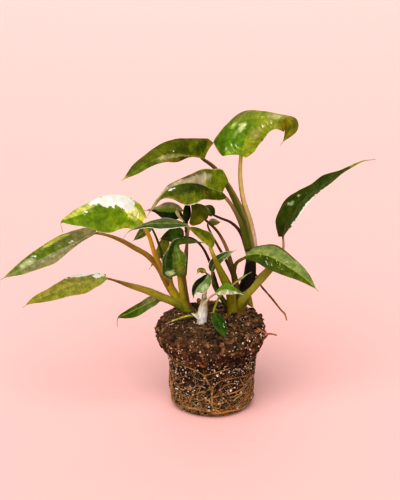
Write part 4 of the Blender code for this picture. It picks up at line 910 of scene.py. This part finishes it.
def ball_radius(angle, height):
    """The root ball's radius at an angle and a height, with its lumps."""
    heights = (0, 3, 8, 16, 40, WAIST_TOP, 58, 62, 67, 72, 78, 83, RIM_HEIGHT)
    foot, waist, lip = BALL_FOOT_RADIUS, BALL_WAIST_RADIUS, BALL_LIP_RADIUS
    radii = (foot - 7, foot - 3, foot - 0.8, foot, waist - 0.8, waist, waist + 1,
             lip - 6, lip - 3, lip - 0.7, lip, lip - 1, lip - 6)
    size = 0.8 if height < WAIST_TOP else 1.3
    fade = min(1.0, height / 8)
    lumps = 0.6 * math.sin(5 * angle + 0.13 * height) + 0.4 * math.sin(9 * angle - 0.21 * height + 1)
    lean = -1.3 * math.sin(angle) * min(max(height - 58, 0) / 10, 1)
    return float(np.interp(height, heights, radii)) + size * fade * lumps + lean


def around(angle, reach, height):
    return np.array((reach * math.sin(angle), -reach * math.cos(angle), height))


def ball_point(angle, height, out=0.0):
    return around(angle, ball_radius(angle, height) + out, height)


def top_height(x, y):
    return BALL_TOP + 0.5 * math.sin(0.21 * x + 1) * math.sin(0.24 * y) + 0.3 * math.sin(0.4 * x - 0.3 * y)


def relief(p):
    """Crumbly relief of several sizes at a point in millimetres, greater on the lip than on the wall."""
    amount = WALL_RELIEF if p[2] < WAIST_TOP else LIP_RELIEF
    v = Vector(p)
    return amount * (0.9 * noise.fractal(v * 0.11, 0.7, 2.1, 4) + 0.75 * noise.noise(v * 0.42)
                     + 0.5 * abs(noise.noise(v * 0.9)))


def add_soil(material):
    """The ball's whole skin, rough all over but flat underneath."""
    points, tones = [], []
    low, high = np.array(SOIL_TONES)
    angles = [2 * math.pi * k / SOIL_SEGMENTS for k in range(SOIL_SEGMENTS)]
    heights = np.linspace(0, RIM_HEIGHT, 96)
    for height in heights:
        for angle in angles:
            p = ball_point(angle, height)
            lift = relief(p) if height > 0 else 0.0
            p[:2] *= 1 + lift / np.linalg.norm(p[:2])
            points.append(p)
            tint = smooth((height - 63) / 12) * 0.7 + 0.3 * noise.noise(Vector(p) * 0.08)
            tones.append(low + (high - low) * max(0.0, tint))
    shares = np.linspace(0.985, 0.02, 34)
    for share in shares:
        for angle in angles:
            p = around(angle, share * ball_radius(angle, RIM_HEIGHT), RIM_HEIGHT)
            rise = smooth((1 - share) / 0.06)
            p[2] += rise * (top_height(*p[:2]) - RIM_HEIGHT)
            p[2] += relief(p) * rise
            points.append(p)
            tones.append(low + (high - low) * (0.7 + 0.4 * noise.noise(Vector(p) * 0.1)))
    points += [np.array((0, 0, 0.0)), np.array((0, 0, BALL_TOP))]
    tones += [low, high]
    stock = Stock()
    stock.add(points, capped_faces(len(heights) + len(shares), SOIL_SEGMENTS), tones)
    stock.piece("soil", [material], "place", "soil", "soil_ball")


def lump_form(seed):
    """Points and faces of one small irregular lump of about unit size."""
    draw = random.Random(seed)
    golden = (1 + 5 ** 0.5) / 2
    base = []
    for a in (-1, 1):
        for b in (-golden, golden):
            base += [(0, a, b), (a, b, 0), (b, 0, a)]
    base = np.array(base)
    points = base / 1.9 * np.array([draw.uniform(0.65, 1.25) for _ in base])[:, None]
    faces = []
    for i in range(12):
        for j in range(i + 1, 12):
            for k in range(j + 1, 12):
                if max(np.linalg.norm(base[p] - base[q]) for p, q in ((i, j), (j, k), (i, k))) < 2.1:
                    out = np.cross(base[j] - base[i], base[k] - base[i]) @ base[i]
                    faces.append((i, j, k) if out > 0 else (i, k, j))
    return points, faces


def rounder(points, faces, seed):
    """A lump with each face cut in four and its new points moved at random."""
    draw = random.Random(seed)
    points = list(points)
    middle = {}

    def between(i, j):
        key = (min(i, j), max(i, j))
        if key not in middle:
            middle[key] = len(points)
            points.append((points[i] + points[j]) / 2 * draw.uniform(1.0, 1.3))
        return middle[key]

    parts = []
    for i, j, k in faces:
        a, b, c = between(i, j), between(j, k), between(k, i)
        parts += [(i, a, c), (a, j, b), (c, b, k), (a, b, c)]
    return np.array(points), parts


def surface_spot(draw, low, high, top_share):
    """A spot on the ball's side or top and its outward direction, drawn at random."""
    if draw.random() < top_share:
        reach = 47 * math.sqrt(draw.random())
        p = around(draw.uniform(0, 2 * math.pi), reach, 0.0)
        p[2] = top_height(*p[:2])
        p[2] += relief(p)
        return p, np.array((0, 0, 1.0))
    height = draw.uniform(low, high)
    angle = draw.uniform(0, 2 * math.pi)
    p = ball_point(angle, height)
    out = around(angle, 1.0, 0.0)
    slope = (ball_radius(angle, height - 1) - ball_radius(angle, height + 1)) / 2
    return p + out * relief(p), unit(out + np.array((0, 0, slope)))


def turned(points, out, spin):
    """Points turned so that their third axis lies along out, after a spin about it."""
    turn = Vector(out).to_track_quat("Z", "Y").to_matrix() @ Matrix.Rotation(spin, 3, "Z")
    return points @ np.array(turn).T


def random_vector(draw, reach=1):
    return np.array([draw.uniform(-1, 1) for _ in range(3)]) * reach


def scatter(count, seed, sizes, tones, low=2, high=RIM_HEIGHT, top_share=0.2, sink=0.3, flat=(0.6, 1.0),
            long=(1.0, 1.5), fine=False, spread=0.3):
    """Lumps of random size, turn and tone over the ball."""
    draw = random.Random(seed)
    forms = [lump_form(seed * 100 + k) for k in range(LUMP_FORMS)]
    if fine:
        forms = [rounder(*form, seed + k) for k, form in enumerate(forms)]
    stock = Stock()
    for _ in range(count):
        p, out = surface_spot(draw, low, high, top_share)
        size = sizes[0] + (sizes[1] - sizes[0]) * draw.random() ** 2.2
        points, faces = forms[draw.randrange(LUMP_FORMS)]
        shape = np.array((draw.uniform(*long), 1.0, draw.uniform(*flat))) * size * 0.5
        lean = unit(out + 0.5 * random_vector(draw))
        form = turned(points * shape, lean, draw.uniform(0, 6.3))
        centre = p + out * 2 * (0.5 - sink) * shape[2]
        if centre[2] < size * 0.6:
            continue
        tone = blended(np.array(tones[0]), np.array(tones[1]), draw.random() ** 1.6)
        stock.add(form + centre, faces, np.minimum(tone * math.exp(draw.uniform(-spread, spread)), 850))
    return stock


def laid_line(path, radius):
    """A root's line over the ball's side through (degrees, height) points."""
    flat = [(d * 0.74, h, 0.0) for d, h in path]
    count = max(4, int(curve_length(flat) / 3) + 1)
    points = []
    for d, h, _ in curve_points([(d, h, 0.0) for d, h in path], np.linspace(0, 1, count)):
        place = ball_point(math.radians(d), max(h, radius + 0.3), 0.5 + radius * 0.9)
        points.append((*place, radius))
    return points


def root_tones(draw, count):
    """Tones along a thick root that change from rust to straw and to dark at random."""
    tones = RUSTS + STRAWS[:2]
    return [np.array(draw.choice(tones)) * draw.choice((0.45, 0.8, 1.0, 1.3)) for _ in range(count)]


def bound_roots():
    """The thick bound roots, at the places they have in the solids."""
    stock = Stock()
    draw = random.Random(7)
    ring = [(10 * k - 180, 7 + 1.6 * math.sin(0.5 * k) + 1.0 * math.sin(1.3 * k)) for k in range(36)]
    ring.append((ring[0][0] + 360, ring[0][1]))
    tones = root_tones(draw, 40)
    tones[20:24] = [ORANGE] * 4
    add_tube(stock, laid_line(ring, 0.8), tones, 10, 1.6, 0.35, 1.0)
    for k, (radius, path) in enumerate(SIDE_ROOTS):
        add_tube(stock, laid_line(path, 0.8 * radius), root_tones(draw, 12), 10, 1.4, 0.4, 2.0 + k)
    for k, start in enumerate([-170, -146, -122, -98, -66, -48, 52, 74, 96, 121, 147, 169]):
        path = [(start, 5.5)]
        lean = draw.uniform(-9, 9)
        for height in (16, 27, 38, 48):
            path.append((path[-1][0] + lean + draw.uniform(-6, 6), height + draw.uniform(-3, 3)))
        radius = 0.75 * draw.uniform(0.7, 1.0)
        line = laid_line(path[:draw.choice((3, 4, 5))], radius)
        add_tube(stock, line, root_tones(draw, 10), 9, 1.6, 0.4, 20.0 + k)
    upper = [(14 * k + 70, 21 + 4 * math.sin(0.9 * k)) for k in range(16)]
    add_tube(stock, laid_line(upper, 0.6), root_tones(draw, 24), 9, 1.6, 0.4, 40.0)
    return stock


def fine_roots():
    """Thin roots, densest near the foot, that wander over the ball's side."""
    stock = Stock()
    draw = random.Random(23)
    for k in range(720):
        low = k < 520
        height = 2.5 + 26 * draw.random() ** 1.7 if low else draw.uniform(8, 60)
        angle = draw.uniform(-180, 180)
        heading = draw.uniform(-1, 1) * (0.9 if low else 2.6)
        steps = draw.randint(5, 14 if low else 9)
        radius = draw.choice((0.14, 0.18, 0.24, 0.32, 0.42) if low else (0.1, 0.13, 0.17, 0.24))
        path = []
        for _ in range(steps):
            path.append((angle, height))
            heading += draw.uniform(-0.55, 0.55)
            angle += 4.2 * math.cos(heading)
            height = min(max(height + 3.1 * math.sin(heading), radius + 0.4), 87)
        tone = np.array(draw.choice(RUSTS + STRAWS)) * draw.uniform(0.3, 1.75)
        line = [(*ball_point(math.radians(d), h, 0.55 + draw.uniform(-0.25, 0.75)), radius) for d, h in path]
        add_tube(stock, line, (tone, tone * 0.8, tone), 5, 1.5, 0.3, 100.0 + k)
    return stock


def root_hairs():
    """Short fibres that stand a little off the ball."""
    stock = Stock()
    draw = random.Random(31)
    for k in range(420):
        p, out = surface_spot(draw, 4, 87, 0.2)
        side = unit(np.cross(out, random_vector(draw)))
        reach = draw.uniform(2.0, 6.5)
        bend = random_vector(draw, reach * 0.35)
        radius = draw.uniform(0.08, 0.16)
        line = [(*p, radius), (*(p + side * reach * 0.5 + out * draw.uniform(0.2, 1.3)), radius),
                (*(p + side * reach + bend * 0.5 + out * draw.uniform(-0.2, 1.6)), radius * 0.5)]
        tone = np.array(draw.choice(FIBRES)) * draw.uniform(0.6, 1.2)
        add_tube(stock, line, tone, 4, 1.2, 0.0, 200.0 + k)
    return stock


# Stage

def placed(name, data, place):
    obj = bpy.data.objects.new(name, data)
    obj.location = place
    bpy.context.scene.collection.objects.link(obj)
    return obj


def build_stage():
    scene = bpy.context.scene
    mesh = bpy.data.meshes.new("floor")
    corners = [(x * FLOOR_REACH, y * FLOOR_REACH, 0) for x, y in ((-1, -1), (1, -1), (1, 1), (-1, 1))]
    mesh.from_pydata(corners, [], [(0, 1, 2, 3)])
    matt = Nodes("floor", 0.9, 0.1)
    matt.shader["Base Color"].default_value = FLOOR_COLOUR
    mesh.materials.append(matt.material)
    floor = placed("floor", mesh, (0, 0, 0))

    scene.world = bpy.data.worlds.new("studio")
    scene.world.use_nodes = True
    background = scene.world.node_tree.nodes["Background"]
    background.inputs[0].default_value = STUDIO_COLOUR
    background.inputs[1].default_value = STUDIO_STRENGTH

    key = bpy.data.lights.new("key", "SUN")
    key.energy = KEY_STRENGTH
    key.angle = math.radians(KEY_ANGLE)
    back = bpy.data.lights.new("back", "AREA")
    back.energy = BACK_POWER
    back.size = BACK_SIZE
    for light, place, target in ((key, KEY_PLACE, (0, 0, 0)), (back, BACK_PLACE, (0, 2.2, 0))):
        way = Vector(target) - Vector(place)
        placed(light.name, light, place).rotation_euler = way.to_track_quat("-Z", "Y").to_euler()

    data = bpy.data.cameras.new("camera")
    data.lens = LENS
    data.sensor_width = SENSOR
    data.clip_end = FAR_CLIP
    camera = placed("camera", data, CAMERA_PLACE)
    camera.rotation_euler = (math.radians(90 - CAMERA_PITCH), 0, 0)
    scene.camera = camera
    scene.view_settings.view_transform = "Standard"
    scene.view_settings.look = "Medium High Contrast"


def build_plant():
    leaves = {leaf.name: leaf for leaf in LEAVES}
    blades = [blade_material("blade_upper", True), blade_material("blade_under", False)]
    for index, leaf in enumerate(LEAVES):
        add_blade(leaf, index, blades, "leaf", leaf.name)
    stems = fibre_material("stems", 0.45, 0.22, 0.0003, 0.18)
    add_shoot("shoot_left_stems", LEFT_CROWN, LEFT_STEMS, leaves, stems, "stems", "stem_left")
    add_shoot("shoot_right_stems", RIGHT_CROWN, RIGHT_STEMS, leaves, stems, "stems", "stem_right")
    add_shoot("sheath", CENTRE_SHOOT, CENTRE_STEMS, leaves, stems, "sheath", "shoot_centre")
    add_blade(SHEATH_FLAP, 40, blades, "sheath")


def build_ball():
    earth = earth_material("earth", 1.0, 0.0006, 0.95)
    grit = earth_material("grit", 1.6, 0.0003, 0.85)
    add_soil(earth)
    crumbs = scatter(3800, 3, (0.8, 3.0), CRUMB_TONES, top_share=0.26, spread=0.9)
    crumbs.join(scatter(230, 21, (4.0, 9.0), CLOD_TONES, low=59, high=87, top_share=0.42, flat=(0.5, 0.9),
                        sink=0.6, fine=True, spread=0.6))
    crumbs.piece("crumbs", [earth], "place", "soil")
    chips = scatter(520, 5, (2.0, 8.0), BARK_TONES, low=57, high=87, top_share=0.42, flat=(0.22, 0.45),
                    long=(1.3, 2.4), sink=0.4, fine=True, spread=0.6)
    chips.piece("bark_chips", [grit], "place", "soil")
    perlite = scatter(1500, 9, (0.6, 2.0), PERLITE_TONES, high=58, top_share=0.03, sink=0.1)
    perlite.join(scatter(620, 15, (0.9, 2.4), PERLITE_TONES, low=50, high=86, top_share=0.22, sink=0.1))
    perlite.join(scatter(44, 12, (1.8, 3.4), PERLITE_TONES, high=84, top_share=0.12, sink=0.2, fine=True))
    perlite.piece("perlite", [grit], "place", "soil")

    roots = fibre_material("roots", 0.7, 0.35, 0.0003, 0.2)
    bound_roots().piece("bound_roots", [roots], "tube", "roots", "root_net")
    fine_roots().piece("fine_roots", [roots], "tube", "roots")
    root_hairs().piece("root_hairs", [roots], "tube", "roots")
    for name, line, node, tones in (("hanging_root", AERIAL_ROOT, "aerial_root", HANGING_TONES),
                                    ("lip_root_end", LIP_ROOT, "lip_root", LIP_ROOT_TONES)):
        stock = Stock()
        add_tube(stock, line, tones, 10, 1.2, 0.3, 5.0)
        stock.piece(name, [roots], "tube", "roots", node)


build_stage()
build_plant()
build_ball()
